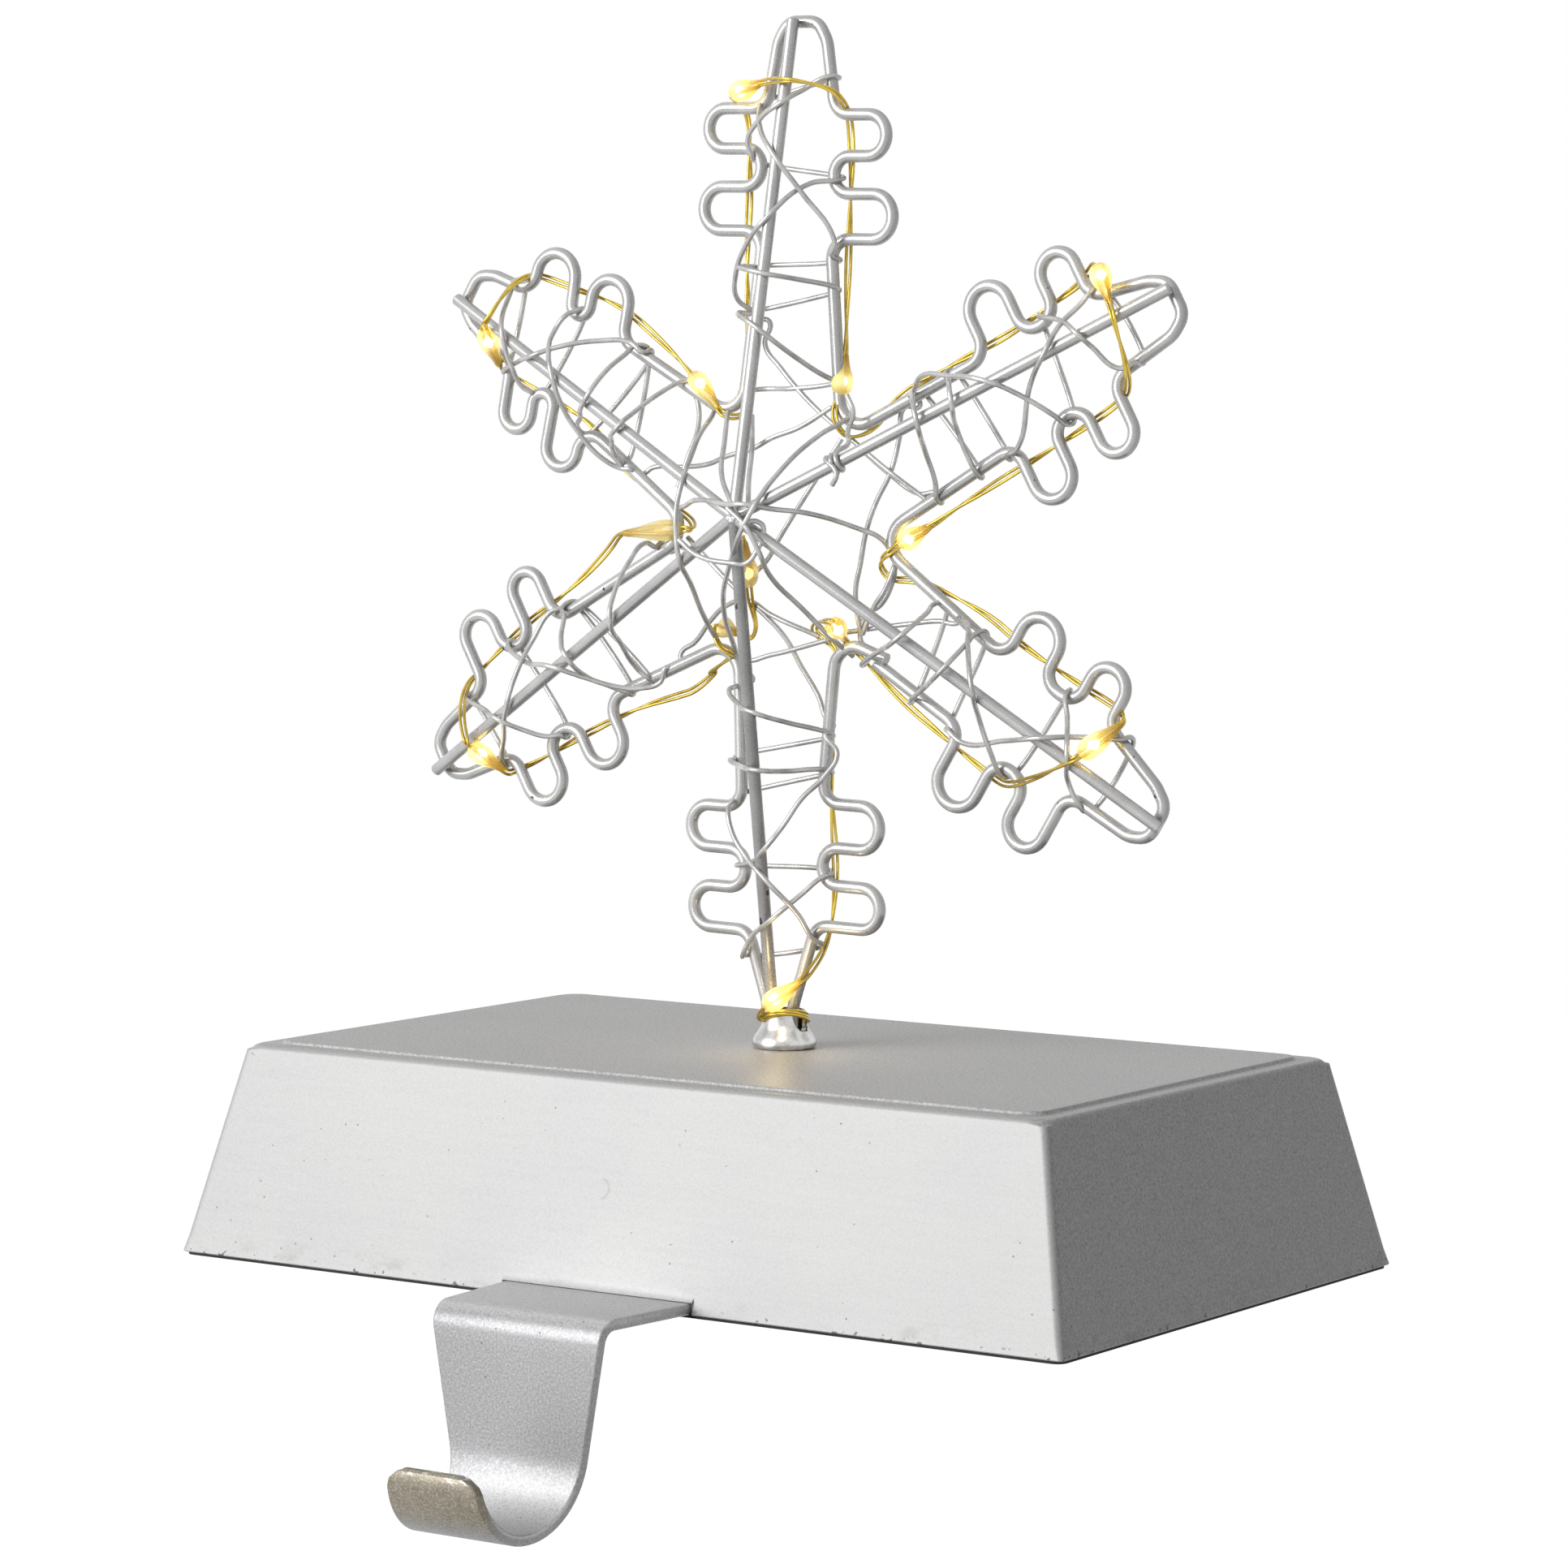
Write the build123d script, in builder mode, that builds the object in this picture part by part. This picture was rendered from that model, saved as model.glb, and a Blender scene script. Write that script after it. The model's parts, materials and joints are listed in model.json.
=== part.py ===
from build123d import *
import os
from math import atan2, cos, degrees, radians, sin, sqrt
from typing import NamedTuple

# Mantel stocking holder: a weighted steel base with a strap hook in front and a lit wire snowflake on top.
# Millimetres and degrees. X runs along the mantel, -Y is the front, Z is up. The origin is the middle of the
# base's underside, where it rests on the mantel, so the hook hangs below zero.
os.makedirs("parts", exist_ok=True)

# Base: pressed steel box that draws in towards a raised top panel
base_length = 140.0
base_depth = 87.0
base_height = 28.3
base_draw_in = 6.3
sheet = 1.0
shoulder_radius = 2.0
corner_radius = 1.5
panel_margin = 2.8
panel_rise = 0.9
panel_corner = 3.0
panel_edge = 0.35
pad_thickness = 0.4
pad_inset = 0.3

# Hook: one tapered steel strap, bent down at the mantel's edge and curled into a J
strap = 1.5
hook_reach = 62.2
hook_wall_width = 29.6
hook_bend_width = 26.6
hook_bottom_width = 17.2
hook_lip_width = 14.2
hook_bend_radius = 1.6
hook_curl_radius = 7.4
hook_drop = 25.6
hook_lip_rise = 0.9
hook_lip_corner = 3.0
hook_tail = 22.0
hook_side_room = 0.3

# Ballast and the fasteners that hold the hook and the floor plate to it
ballast_end_room = 2.9
ballast_front_room = 0.4
ballast_back = 6.0
ballast_corner = 3.0
hook_screw_pitch = 16.0
hook_screw_front = 28.0
plate_screw_margin = 7.0
plate_screw_front = 19.0
screw_diameter = 3.0
screw_length = 9.0
screw_slot_width = 0.8
screw_slot_depth = 0.6
screw_room = 0.05
screw_sides = 12
plate_room = 0.4
foot_pin_length = 6.0
foot_pin_front = 1.5

# Battery compartment: two AA cells side by side, a hinged door underneath, a slide switch beside it
cell_diameter = 14.2
cell_length = 49.0
cell_nub_diameter = 5.2
cell_nub_height = 1.3
cell_room = 0.5
cell_end_room = 2.2
case_wall = 1.5
case_back_room = 2.5
case_flange = 3.0
flange_thickness = 1.2
door_thickness = 1.5
door_room = 0.35
door_rear_room = 0.7
door_lap = 1.4
tongue_width = 8.0
tongue_pitch = 30.0
tongue_thickness = 0.8
tongue_root = 2.5
door_swing_room = 0.7
contact_thickness = 0.3
contact_height = 9.0
contact_half_width = 4.5
contact_fold = 3.2
contact_gap = 0.5
switch_edge = 20.0
switch_length = 13.0
switch_depth = 7.0
switch_height = 6.0
switch_wall = 1.0
knob_length = 4.0
knob_width = 3.0
knob_recess = 0.15
carriage_length = 6.0
carriage_height = 1.6
switch_travel = 3.0
switch_room = 0.3
terminal_pitch = 5.0
terminal_side = 0.9
terminal_rise = 1.6
wiper_thickness = 0.25

# Snowflake outline: one bent wire, six arms with two round lobes on each side
wire = 1.7
flake_offset = 0.8
flake_height = 98.7
arm_half_width = 6.15
crotch_radius = 5.0
lobe_station = 40.9
lobe_pitch = 11.0
lobe_radius = 2.9
inner_lobe_reach = 14.8
outer_lobe_reach = 14.0
waist_half_width = 6.2
root_radius = 2.5
shoulder_half_width = 5.9
tip_half_width = 2.3
tip_radius = 2.2
foot_left_rise = 11.5
foot_right_rise = 10.1
foot_half_width = 2.1
foot_depth = 2.2
foot_bend_radius = 4.0
foot_room = 0.1
lap_station = 20.6
lap_length = 1.2

# Spokes: six straight rods from the tips to a hub in front of the outline
hub_rise = 2.7
hub_front = 13.7
spoke_overhang = 1.2
foot_spoke_front = 0.6
foot_spoke_lift = 0.8
spoke_room = 0.1

# Ferrule: thin bell that hides the foot
ferrule_base_diameter = 8.6
ferrule_height = 5.4
ferrule_rim = 0.5
ferrule_flare = 2.2
ferrule_sides = 20
ferrule_wall = 0.3
ferrule_slot_width = 1.8
ferrule_slot_height = 2.6
ferrule_slot_turn = -21.0

# Binding wire: one thin wire for each arm, wound round both sides and over the spoke
thread = 0.7
wind_room = 0.2
crotch_exit = 18.0
last_share = 0.095
low_right_share = 0.225
low_left_share = 0.495
mid_left_share = 0.685
mid_right_share = 0.82
high_left_share = 0.96
thread_start = 1.8
left_top_rise = 3.2
right_top_rise = 4.4
top_share = 0.37
long_lift = 0.5
back_layer = 0.95
bulge_lift = 2.2
bulge_rise = 3.7
bulge_side = 1.3
bulge_front = 4.5

# Light string: a pair of thin wires with moulded lamps
lead = 0.44
lead_pitch = 0.66
lamp_diameter = 2.7
lamp_length = 5.6
lamp_body = 2.0
lamp_end_diameter = 1.9
lamp_room = 0.05
side_run = 9.0
lamp_run = 10.2
run_behind = 1.5
run_low = 19.6
run_high = 25.4
run_easy = 30.0
tip_pass = 4.4
lead_rise = 22.5
lead_hole_back = 2.1
crotch_run = 19.1
crotch_side = 1.2
left_pass = 1.6
pass_side = 7.6
pass_rise = 1.8
tip_lamp_high = 6.5
tip_lamp_front = 1.8
foot_wind = [(-4.2, 1.8, 0.9), (-4.4, -2.0, 1.3)]
foot_lamp_start = (-2.0, -4.7, 36.2)
foot_lamp_end = (3.2, -4.7, 39.6)
end_lamp_start = (12.0, 0.0, 0.5)
end_lamp_end = (6.5, 0.0, -2.5)

# Thin wires get few flats: six round the outline and spokes, four round the finer ones
flat_sides = 6
bend_steps = 3
touch = 0.02
wire_corner = wire / 2 / sqrt(cos(radians(180 / flat_sides)))
wire_flat = wire_corner * cos(radians(180 / flat_sides))
square_side = sqrt(radians(180)) / 2

panel_top = base_height + panel_rise
panel_under = panel_top - sheet
wall_height = base_height - pad_thickness
draft = degrees(atan2(base_draw_in, wall_height))
neck_station = flake_height - panel_top - ferrule_height
foot_reach = flake_height - panel_under + foot_depth
foot_lobes = neck_station - lobe_station - lobe_pitch - lobe_radius


class Arm(NamedTuple):
    """One hand-bent arm: clockwise angle from straight up, tip distance, and how far its lobes sit out."""

    angle: float
    tip: float
    left: float
    right: float


# The arms differ a little, as bending by hand leaves them. The fourth is the foot.
foot_index = 3
arms = [
    Arm(0.9, 68.5, 2.6, 1.7),
    Arm(61.8, 66.8, 0.9, -1.0),
    Arm(123.2, 67.4, -0.3, -1.0),
    Arm(180.6, foot_reach, foot_lobes - foot_left_rise, foot_lobes - foot_right_rise),
    Arm(241.9, 67.3, 0.7, 1.7),
    Arm(301.8, 63.5, -3.0, 1.0),
]
flake_center = Vector(flake_offset, 0, flake_height)
hub = flake_center + Vector(0, -hub_front, hub_rise)


def at(arm, station, across, depth=0.0):
    """A point on an arm: distance out from the flake's centre, across to its right, and behind its plane."""
    turn = radians(arm.angle)
    x = station * sin(turn) + across * cos(turn)
    z = station * cos(turn) - across * sin(turn)
    return flake_center + Vector(x, depth, z)


def save(piece, name):
    """Label a finished piece and write it."""
    piece.part.label = name
    export_step(piece.part, f"parts/{name}.step")


# Base shell: drawn box, hollowed from below, with the panel pressed up out of its top
panel_length = base_length - 2 * (base_draw_in + panel_margin)
panel_depth = base_depth - 2 * (base_draw_in + panel_margin)
strap_top = pad_thickness + strap
foot_hole = foot_half_width + wire_corner + foot_room
wall_across = sheet / cos(radians(draft))
with BuildPart() as base_cavity:
    with BuildSketch(Plane.XY.offset(pad_thickness)):
        Rectangle(base_length - 2 * wall_across, base_depth - 2 * wall_across)
    extrude(amount=wall_height - sheet, taper=draft)
    chamfer(base_cavity.faces().sort_by(Axis.Z)[-1].edges(), shoulder_radius - sheet)
with BuildPart() as base_shell:
    with BuildSketch(Plane.XY.offset(pad_thickness)):
        RectangleRounded(base_length, base_depth, corner_radius)
    extrude(amount=wall_height, taper=draft)
    fillet(base_shell.faces().sort_by(Axis.Z)[-1].edges(), shoulder_radius)
    add(base_cavity.part, mode=Mode.SUBTRACT)
    with BuildSketch(Plane.XY.offset(base_height)):
        RectangleRounded(panel_length, panel_depth, panel_corner)
    extrude(amount=panel_rise)
    chamfer(base_shell.faces().sort_by(Axis.Z)[-1].edges(), panel_edge)
    with BuildSketch(Plane.XY.offset(base_height - sheet)):
        RectangleRounded(panel_length - 2 * sheet, panel_depth - 2 * sheet, panel_corner - sheet)
    extrude(amount=panel_rise, mode=Mode.SUBTRACT)
    with Locations((0, 0, panel_top)):
        Hole(foot_hole)
    strap_room = hook_wall_width + 2 * hook_side_room
    with Locations((0, -base_depth / 2, strap_top / 2)):
        Box(strap_room, 4 * base_draw_in, strap_top + hook_side_room, mode=Mode.SUBTRACT)
save(base_shell, "base_shell")

# Places of the screws, and the pose of everything that stands on a level
ballast_length = panel_length - 2 * (sheet + ballast_end_room)
ballast_front = panel_depth / 2 - sheet - ballast_front_room
plate_screw_pitch = ballast_length - 2 * plate_screw_margin
hook_screw_places = [(side * hook_screw_pitch / 2, -hook_screw_front) for side in (-1, 1)]
plate_screw_places = [(side * plate_screw_pitch / 2, -plate_screw_front) for side in (-1, 1)]
standing = (Align.CENTER, Align.CENTER, Align.MIN)


def sunk(places, base, radius, height):
    """Countersunk heads, one at each place, that narrow upwards by their own height."""
    with BuildPart() as heads:
        with BuildSketch(Plane.XY.offset(base)):
            with Locations(*places):
                RegularPolygon(radius + height, screw_sides)
        extrude(amount=height, taper=45)
    return heads.part


def shanks(places, base, radius, height):
    """Straight shanks, one at each place."""
    with BuildPart() as rods:
        with BuildSketch(Plane.XY.offset(base)):
            with Locations(*places):
                RegularPolygon(radius, screw_sides)
        extrude(amount=height)
    return rods.part


# Hook: the bent strip is extruded sideways and trimmed to its tapered outline
hook_front = -hook_reach
curl_mid = hook_front - hook_curl_radius
curl_height = strap + hook_curl_radius - hook_drop
bend_height = strap_top - strap - hook_bend_radius
with BuildPart() as hook_blank:
    with BuildSketch(Plane.XY.offset(bend_height)):
        with BuildLine():
            Polyline(
                (-hook_wall_width / 2, -hook_tail),
                (-hook_wall_width / 2, -base_depth / 2),
                (-hook_bend_width / 2, hook_front),
                (hook_bend_width / 2, hook_front),
                (hook_wall_width / 2, -base_depth / 2),
                (hook_wall_width / 2, -hook_tail),
                close=True,
            )
        make_face()
    extrude(amount=strap_top - bend_height)
    with BuildSketch(Plane.XZ.offset(-curl_mid)):
        with BuildLine():
            Polyline(
                (-hook_bend_width / 2, bend_height),
                (hook_bend_width / 2, bend_height),
                (hook_bottom_width / 2, -hook_drop),
                (-hook_bottom_width / 2, -hook_drop),
                close=True,
            )
        make_face()
    extrude(amount=-base_depth / 2 - curl_mid, dir=(0, 1, 0))
    with BuildSketch(Plane.XZ.offset(-curl_mid)):
        with BuildLine():
            Polyline(
                (-hook_bottom_width / 2, -hook_drop),
                (hook_bottom_width / 2, -hook_drop),
                (hook_lip_width / 2, curl_height + hook_lip_rise),
                (-hook_lip_width / 2, curl_height + hook_lip_rise),
                close=True,
            )
        lip_outline = make_face()
        fillet(lip_outline.vertices().group_by(Axis.Z)[-1], hook_lip_corner)
    extrude(amount=2 * (hook_curl_radius + strap), dir=(0, -1, 0))
with BuildPart() as hook:
    with BuildSketch(Plane.YZ) as hook_profile:
        with BuildLine() as hook_line:
            leg_height = strap_top - strap / 2
            leg = Line((-hook_tail, leg_height), (hook_front + strap + hook_bend_radius, leg_height))
            bend = RadiusArc(leg @ 1, (hook_front + strap / 2, bend_height), -(hook_bend_radius + strap / 2))
            drop = Line(bend @ 1, (hook_front + strap / 2, curl_height))
            curl = ThreePointArc(
                drop @ 1,
                (curl_mid, curl_height - hook_curl_radius - strap / 2),
                (curl_mid - hook_curl_radius - strap / 2, curl_height),
            )
            Line(curl @ 1, (curl_mid - hook_curl_radius - strap / 2, curl_height + hook_lip_rise))
        trace(hook_line.line, strap)
    extrude(amount=hook_wall_width, both=True)
    add(hook_blank.part, mode=Mode.INTERSECT)
    add(sunk(hook_screw_places, pad_thickness, screw_diameter / 2, strap), mode=Mode.SUBTRACT)
save(hook, "hook")


# Snowflake outline: corner points and bend radii for one side of an arm, from the crotch out to its shoulder
def side_corners(arm, side):
    """Corners of an arm's side as (station, across, radius), from its inner lobe out to its shoulder."""
    shift = arm.left if side < 0 else arm.right
    inner = lobe_station + shift
    outer = inner + lobe_pitch
    waist_bend = lobe_pitch / 2 - lobe_radius
    return [
        (inner - lobe_radius, side * arm_half_width, root_radius),
        (inner - lobe_radius, side * inner_lobe_reach, lobe_radius),
        (inner + lobe_radius, side * inner_lobe_reach, lobe_radius),
        (inner + lobe_radius, side * waist_half_width, waist_bend),
        (outer - lobe_radius, side * waist_half_width, waist_bend),
        (outer - lobe_radius, side * outer_lobe_reach, lobe_radius),
        (outer + lobe_radius, side * outer_lobe_reach, lobe_radius),
        (outer + lobe_radius, side * shoulder_half_width, root_radius),
    ]


def tip_corners(arm, side):
    """Corners of an arm's end on one side. The foot runs down through the ferrule instead of closing."""
    if arm is arms[foot_index]:
        return [
            (neck_station, side * foot_half_width, foot_bend_radius),
            (arm.tip, side * foot_half_width, foot_half_width),
        ]
    return [(arm.tip, side * tip_half_width, tip_radius)]


def crotch(index):
    """Where the side lines of an arm and the next one clockwise cross."""
    here = arms[index].angle
    gap = (arms[(index + 1) % len(arms)].angle - here) % 360
    spread = arm_half_width / sin(radians(gap / 2))
    middle = Arm(here + gap / 2, 0, 0, 0)
    return at(middle, spread, 0)


def bent(before, corner, after, radius):
    """The corner rounded to a radius in a few short flats, each a mitre of the bent wire."""
    into = (corner - before).normalized()
    out = (after - corner).normalized()
    turn = radians(into.get_angle(out))
    normal = into.cross(out).normalized()
    center = corner + (out - into).normalized() * (radius / cos(turn / 2))
    reach = radius / cos(turn / 2 / bend_steps)
    spoke = into.cross(normal) * reach
    angles = [degrees(turn * (step + 0.5) / bend_steps) for step in range(bend_steps)]
    return [center + spoke.rotate(Axis((0, 0, 0), normal), angle) for angle in angles]


# The wire starts and ends on the third arm, where its two ends lie side by side
lap_index = 2
lap_arm = arms[lap_index]
corners = [at(lap_arm, lap_station + lap_length, arm_half_width - wire_corner - touch)]
radii = []
for step in range(len(arms)):
    before = (lap_index + step) % len(arms)
    arm = arms[(before + 1) % len(arms)]
    corners.append(crotch(before))
    radii.append(crotch_radius)
    outward = side_corners(arm, -1) + tip_corners(arm, -1)
    inward = reversed(side_corners(arm, 1) + tip_corners(arm, 1))
    for station, across, radius in [*outward, *inward]:
        corners.append(at(arm, station, across))
        radii.append(radius)
corners.append(at(lap_arm, lap_station, arm_half_width + wire_corner + touch))
bends = [bent(*corners[i : i + 3], radius) for i, radius in enumerate(radii)]

with BuildPart() as outline:
    with BuildLine() as outline_path:
        Polyline(corners[0], *[point for bend in bends for point in bend], corners[-1])
    with BuildSketch(Plane(origin=corners[0], x_dir=(0, 1, 0), z_dir=outline_path.line % 0)):
        RegularPolygon(wire_corner, flat_sides, rotation=180 / flat_sides)
    sweep(transition=Transition.RIGHT)
save(outline, "snowflake_outline")

# Ferrule: spun bell over the foot, with a notch in its rim where the light string comes out
neck_bore = foot_hole / cos(radians(180 / ferrule_sides))
neck_radius = neck_bore + ferrule_wall
base_radius = ferrule_base_diameter / 2
ferrule_top = panel_top + ferrule_height
with BuildPart() as ferrule:
    with BuildSketch(Plane.XY.offset(panel_top)):
        RegularPolygon(base_radius, ferrule_sides)
    extrude(amount=ferrule_rim)
    with BuildSketch(Plane.XY.offset(panel_top + ferrule_rim)):
        RegularPolygon(base_radius, ferrule_sides)
    extrude(amount=ferrule_flare, taper=degrees(atan2(base_radius - neck_radius, ferrule_flare)))
    with BuildSketch(Plane.XY.offset(panel_top)):
        RegularPolygon(neck_radius, ferrule_sides)
    extrude(amount=ferrule_height)
    with BuildSketch(Plane.XY.offset(panel_top)):
        RegularPolygon(neck_bore, ferrule_sides)
    extrude(amount=ferrule_height, mode=Mode.SUBTRACT)
    with BuildSketch(Plane.XY.offset(ferrule_top)):
        with Locations(Rotation(0, 0, ferrule_slot_turn) * Location((neck_radius, 0))):
            Rectangle(neck_radius, ferrule_slot_width)
    extrude(amount=-ferrule_slot_height, mode=Mode.SUBTRACT)
save(ferrule, "ferrule")


# Spokes: each rod runs from its tip to the hub, where the six are cut to meet face to face
def spoke_tip(index):
    """Where a spoke's axis crosses the end of its arm, just in front of the outline."""
    arm = arms[index]
    if index == foot_index:
        return at(arm, flake_height - panel_top - foot_spoke_lift, 0, -foot_spoke_front)
    return at(arm, arm.tip, 0, -2 * wire_flat - spoke_room)


def spoke_at(index, station):
    """The point on a spoke's axis at a distance out along its arm."""
    arm = arms[index]
    hub_station = hub_rise * cos(radians(arm.angle))
    tip = spoke_tip(index)
    tip_station = (tip - flake_center).dot(at(arm, 1, 0) - flake_center)
    return hub + (tip - hub) * ((station - hub_station) / (tip_station - hub_station))


headings = [degrees(atan2((spoke_tip(i) - hub).X, (spoke_tip(i) - hub).Z)) for i in range(len(arms))]
for index, heading in enumerate(headings):
    after = heading + ((headings[(index + 1) % len(arms)] - heading) % 360) / 2
    before = heading - ((heading - headings[index - 1]) % 360) / 2
    axis = spoke_tip(index) - hub
    overhang = 0 if index == foot_index else spoke_overhang
    with BuildPart() as rod:
        level = Vector(cos(radians(heading)), 0, -sin(radians(heading)))
        with BuildSketch(Plane(origin=hub, x_dir=level, z_dir=axis)):
            RegularPolygon(wire_corner, flat_sides)
        extrude(amount=axis.length + overhang)
        for turn, side in ((after, -1), (before, 1)):
            across = Vector(cos(radians(turn)), 0, -sin(radians(turn))) * side
            split(bisect_by=Plane(origin=hub, z_dir=across), keep=Keep.TOP)
    save(rod, f"spoke_{index + 1}")

# Binding wire: wound from side to side, forward over the spoke and straight back behind the outline
thread_half = thread * square_side / 2
wrap_across = wire_corner + wind_room + thread_half
wrap_depth = wire_flat + wind_room + thread_half


def shoulder_station(arm, side):
    """Where an arm's outer lobe comes back to its side."""
    return lobe_station + lobe_pitch + lobe_radius + (arm.left if side < 0 else arm.right)


def end_station(index):
    """Where an arm closes: at its tip, or for the foot at the ferrule's top."""
    return neck_station if index == foot_index else arms[index].tip


def top_turn(index, side, rise):
    """Where the binding turns between an arm's shoulder and its end."""
    shoulder = shoulder_station(arms[index], side)
    return shoulder + min(rise, (end_station(index) - shoulder) * top_share)


def side_turn(arm, side, share):
    """Where the binding turns on an arm's straight side, as a share of the way from crotch to lobes."""
    shift = arm.left if side < 0 else arm.right
    root = lobe_station + shift - lobe_radius - root_radius - thread
    return crotch_exit + (root - crotch_exit) * share


def end_half_width(arm, side, station):
    """Half-width of an arm's end between its shoulder and its tip."""
    shoulder = shoulder_station(arm, side)
    is_foot = arm is arms[foot_index]
    top = neck_station if is_foot else arm.tip
    narrow = foot_half_width if is_foot else tip_half_width
    return shoulder_half_width + (narrow - shoulder_half_width) * (station - shoulder) / (top - shoulder)


def side_half_width(index, side, station):
    """Half-width of an arm's straight side, a little wider where the outline's two ends lie side by side."""
    if index != lap_index or side < 0:
        return arm_half_width
    root = lobe_station + arms[index].right - lobe_radius
    return arm_half_width + (wire_corner + touch) * min(1, (root - station) / (root - lap_station))


def over_spoke(index, station, half_width, size, lift=0.0):
    """A point just in front of a spoke for a wire of some size that falls away steeply to both sides."""
    axis = spoke_at(index, station)
    fall = -axis.Y / half_width
    clear = max(wire_flat + fall * wire_corner / 2, fall * wire_corner)
    half_size = size * square_side / sqrt(2)
    return axis - Vector(0, clear + half_size * sqrt(1 + fall**2) + wind_room + lift, 0)


def binding_route(index):
    """Corner points of one arm's binding: right turns come forward, left turns go behind."""
    arm = arms[index]
    left_top = top_turn(index, -1, left_top_rise)
    right_top = top_turn(index, 1, right_top_rise)
    low_right, mid_right, root_right, last_right = (
        side_turn(arm, 1, share) for share in (low_right_share, mid_right_share, 1, last_share)
    )
    low_left, mid_left, high_left, last_left = (
        side_turn(arm, -1, share) for share in (low_left_share, mid_left_share, high_left_share, last_share)
    )
    turns = [
        (1, low_right, side_half_width(index, 1, low_right), 0.0, 0.0),
        (-1, mid_left, arm_half_width, 0.0, 0.0),
        (1, mid_right, side_half_width(index, 1, mid_right), 0.0, 0.0),
        (-1, high_left, arm_half_width, 0.0, 0.0),
        (1, root_right, side_half_width(index, 1, root_right), long_lift, 0.0),
        (-1, left_top, end_half_width(arm, -1, left_top), 0.0, 0.0),
        (1, right_top, end_half_width(arm, 1, right_top), 0.0, 0.0),
        (-1, lobe_station + arm.left + lobe_pitch / 2, waist_half_width, 0.0, 0.0),
        (1, lobe_station + arm.right + lobe_pitch / 2, waist_half_width, bulge_lift, 0.0),
        (-1, low_left, arm_half_width, 0.0, back_layer),
        (1, last_right, side_half_width(index, 1, last_right), 0.0, back_layer),
        (-1, last_left, arm_half_width, 0.0, 0.0),
    ]
    route = [at(arm, low_right + thread_start, -arm_half_width, wrap_depth)]
    for place, (side, station, half, lift, layer) in enumerate(turns):
        edge = side * (half + wrap_across)
        front = at(arm, station, edge, -wrap_depth)
        back = at(arm, station, edge, wrap_depth + layer)
        if side > 0:
            landing = turns[place + 1][1]
            route += [back, front, over_spoke(index, (station + landing) / 2, half, thread, lift)]
            if lift == bulge_lift:
                route.append(at(arm, landing + bulge_rise, -half - wrap_across - bulge_side, -bulge_front))
        else:
            route += [front, back]
    route.append(at(arm, last_left, -arm_half_width + wrap_across, wrap_depth))
    return route


def square_wire(route, size):
    """A thin wire of four flats along straight runs with mitred corners."""
    with BuildPart() as piece:
        with BuildLine() as path:
            Polyline(*route)
        with BuildSketch(Plane(origin=route[0], z_dir=path.line % 0)):
            Rectangle(size * square_side, size * square_side)
        sweep(transition=Transition.RIGHT)
    return piece


for index in range(len(arms)):
    save(square_wire(binding_route(index), thread), f"binding_{index + 1}")

# Foot pin: pushed through the foot's loop under the panel so that the flake can't be pulled out
foot = at(arms[foot_index], arms[foot_index].tip, 0)
foot_pin_diameter = foot_depth - wire_corner - touch
with BuildPart() as foot_pin:
    with Locations((foot.X, -foot_pin_front, panel_under - foot_pin_diameter / 2)):
        Cylinder(foot_pin_diameter / 2, foot_pin_length, rotation=(90, 0, 0))
save(foot_pin, "foot_pin")

# Battery bay: two cells side by side above the door, turned opposite ways
plate_top = pad_thickness + sheet
door_top = pad_thickness + door_thickness
bay_length = cell_length + cell_nub_height + 2 * cell_end_room
bay_depth = 2 * cell_diameter + 3 * cell_room
case_center_y = base_depth / 2 - wall_across - case_back_room - bay_depth / 2 - case_wall - case_flange
bay_front = case_center_y - bay_depth / 2
bay_back = case_center_y + bay_depth / 2
cell_axis = door_top + cell_room + cell_diameter / 2
bay_top = cell_axis + cell_diameter / 2 + cell_room
cell_pitch = cell_diameter + cell_room
opening_back = bay_back - door_lap - door_room
opening_depth = opening_back - bay_front
opening_center = (opening_back + bay_front) / 2
cell_end = (cell_length + cell_nub_height) / 2
for number, way in ((1, 1), (2, -1)):
    with BuildPart() as cell:
        with BuildSketch(Plane.YZ.offset(-way * cell_end)):
            with Locations((case_center_y - way * cell_pitch / 2, cell_axis)):
                Circle(cell_diameter / 2)
        extrude(amount=way * cell_length)
        with BuildSketch(Plane.YZ.offset(way * (cell_end - cell_nub_height))):
            with Locations((case_center_y - way * cell_pitch / 2, cell_axis)):
                Circle(cell_nub_diameter / 2)
        extrude(amount=way * cell_nub_height)
    save(cell, f"cell_{number}")

# Battery case: open box upside down on the plate, with holes in its roof for the leads
lead_hole = lead + 2 * contact_gap
lead_start_x = bay_length / 2 - contact_thickness - lead / 2
with BuildPart() as case:
    with Locations((0, case_center_y, plate_top)):
        outer_length = bay_length + 2 * case_wall
        outer_depth = bay_depth + 2 * case_wall
        Box(outer_length, outer_depth, bay_top + case_wall - plate_top, align=standing)
        Box(outer_length + 2 * case_flange, outer_depth + 2 * case_flange, flange_thickness, align=standing)
        Box(bay_length, bay_depth, bay_top - plate_top, align=standing, mode=Mode.SUBTRACT)
    for side in (-1, 1):
        with Locations((lead_start_x, case_center_y + side * cell_pitch / 2, bay_top)):
            Box(lead_hole, lead_hole, case_wall, align=standing, mode=Mode.SUBTRACT)
save(case, "battery_case")

# Battery door: flush panel with two tongues that reach over the plate behind it
with BuildPart() as door:
    door_back = opening_back - door_rear_room
    door_front = bay_front + door_room
    with Locations((0, (door_front + door_back) / 2, pad_thickness)):
        Box(bay_length - 2 * door_room, door_back - door_front, door_thickness, align=standing)
    tongue_reach = opening_back + door_lap - door_back
    tongue_length = tongue_reach + tongue_root
    for side in (-1, 1):
        with Locations((side * tongue_pitch / 2, opening_back + door_lap - tongue_length / 2, plate_top)):
            Box(tongue_width, tongue_length, tongue_thickness, align=standing)
save(door, "battery_door")


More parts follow.
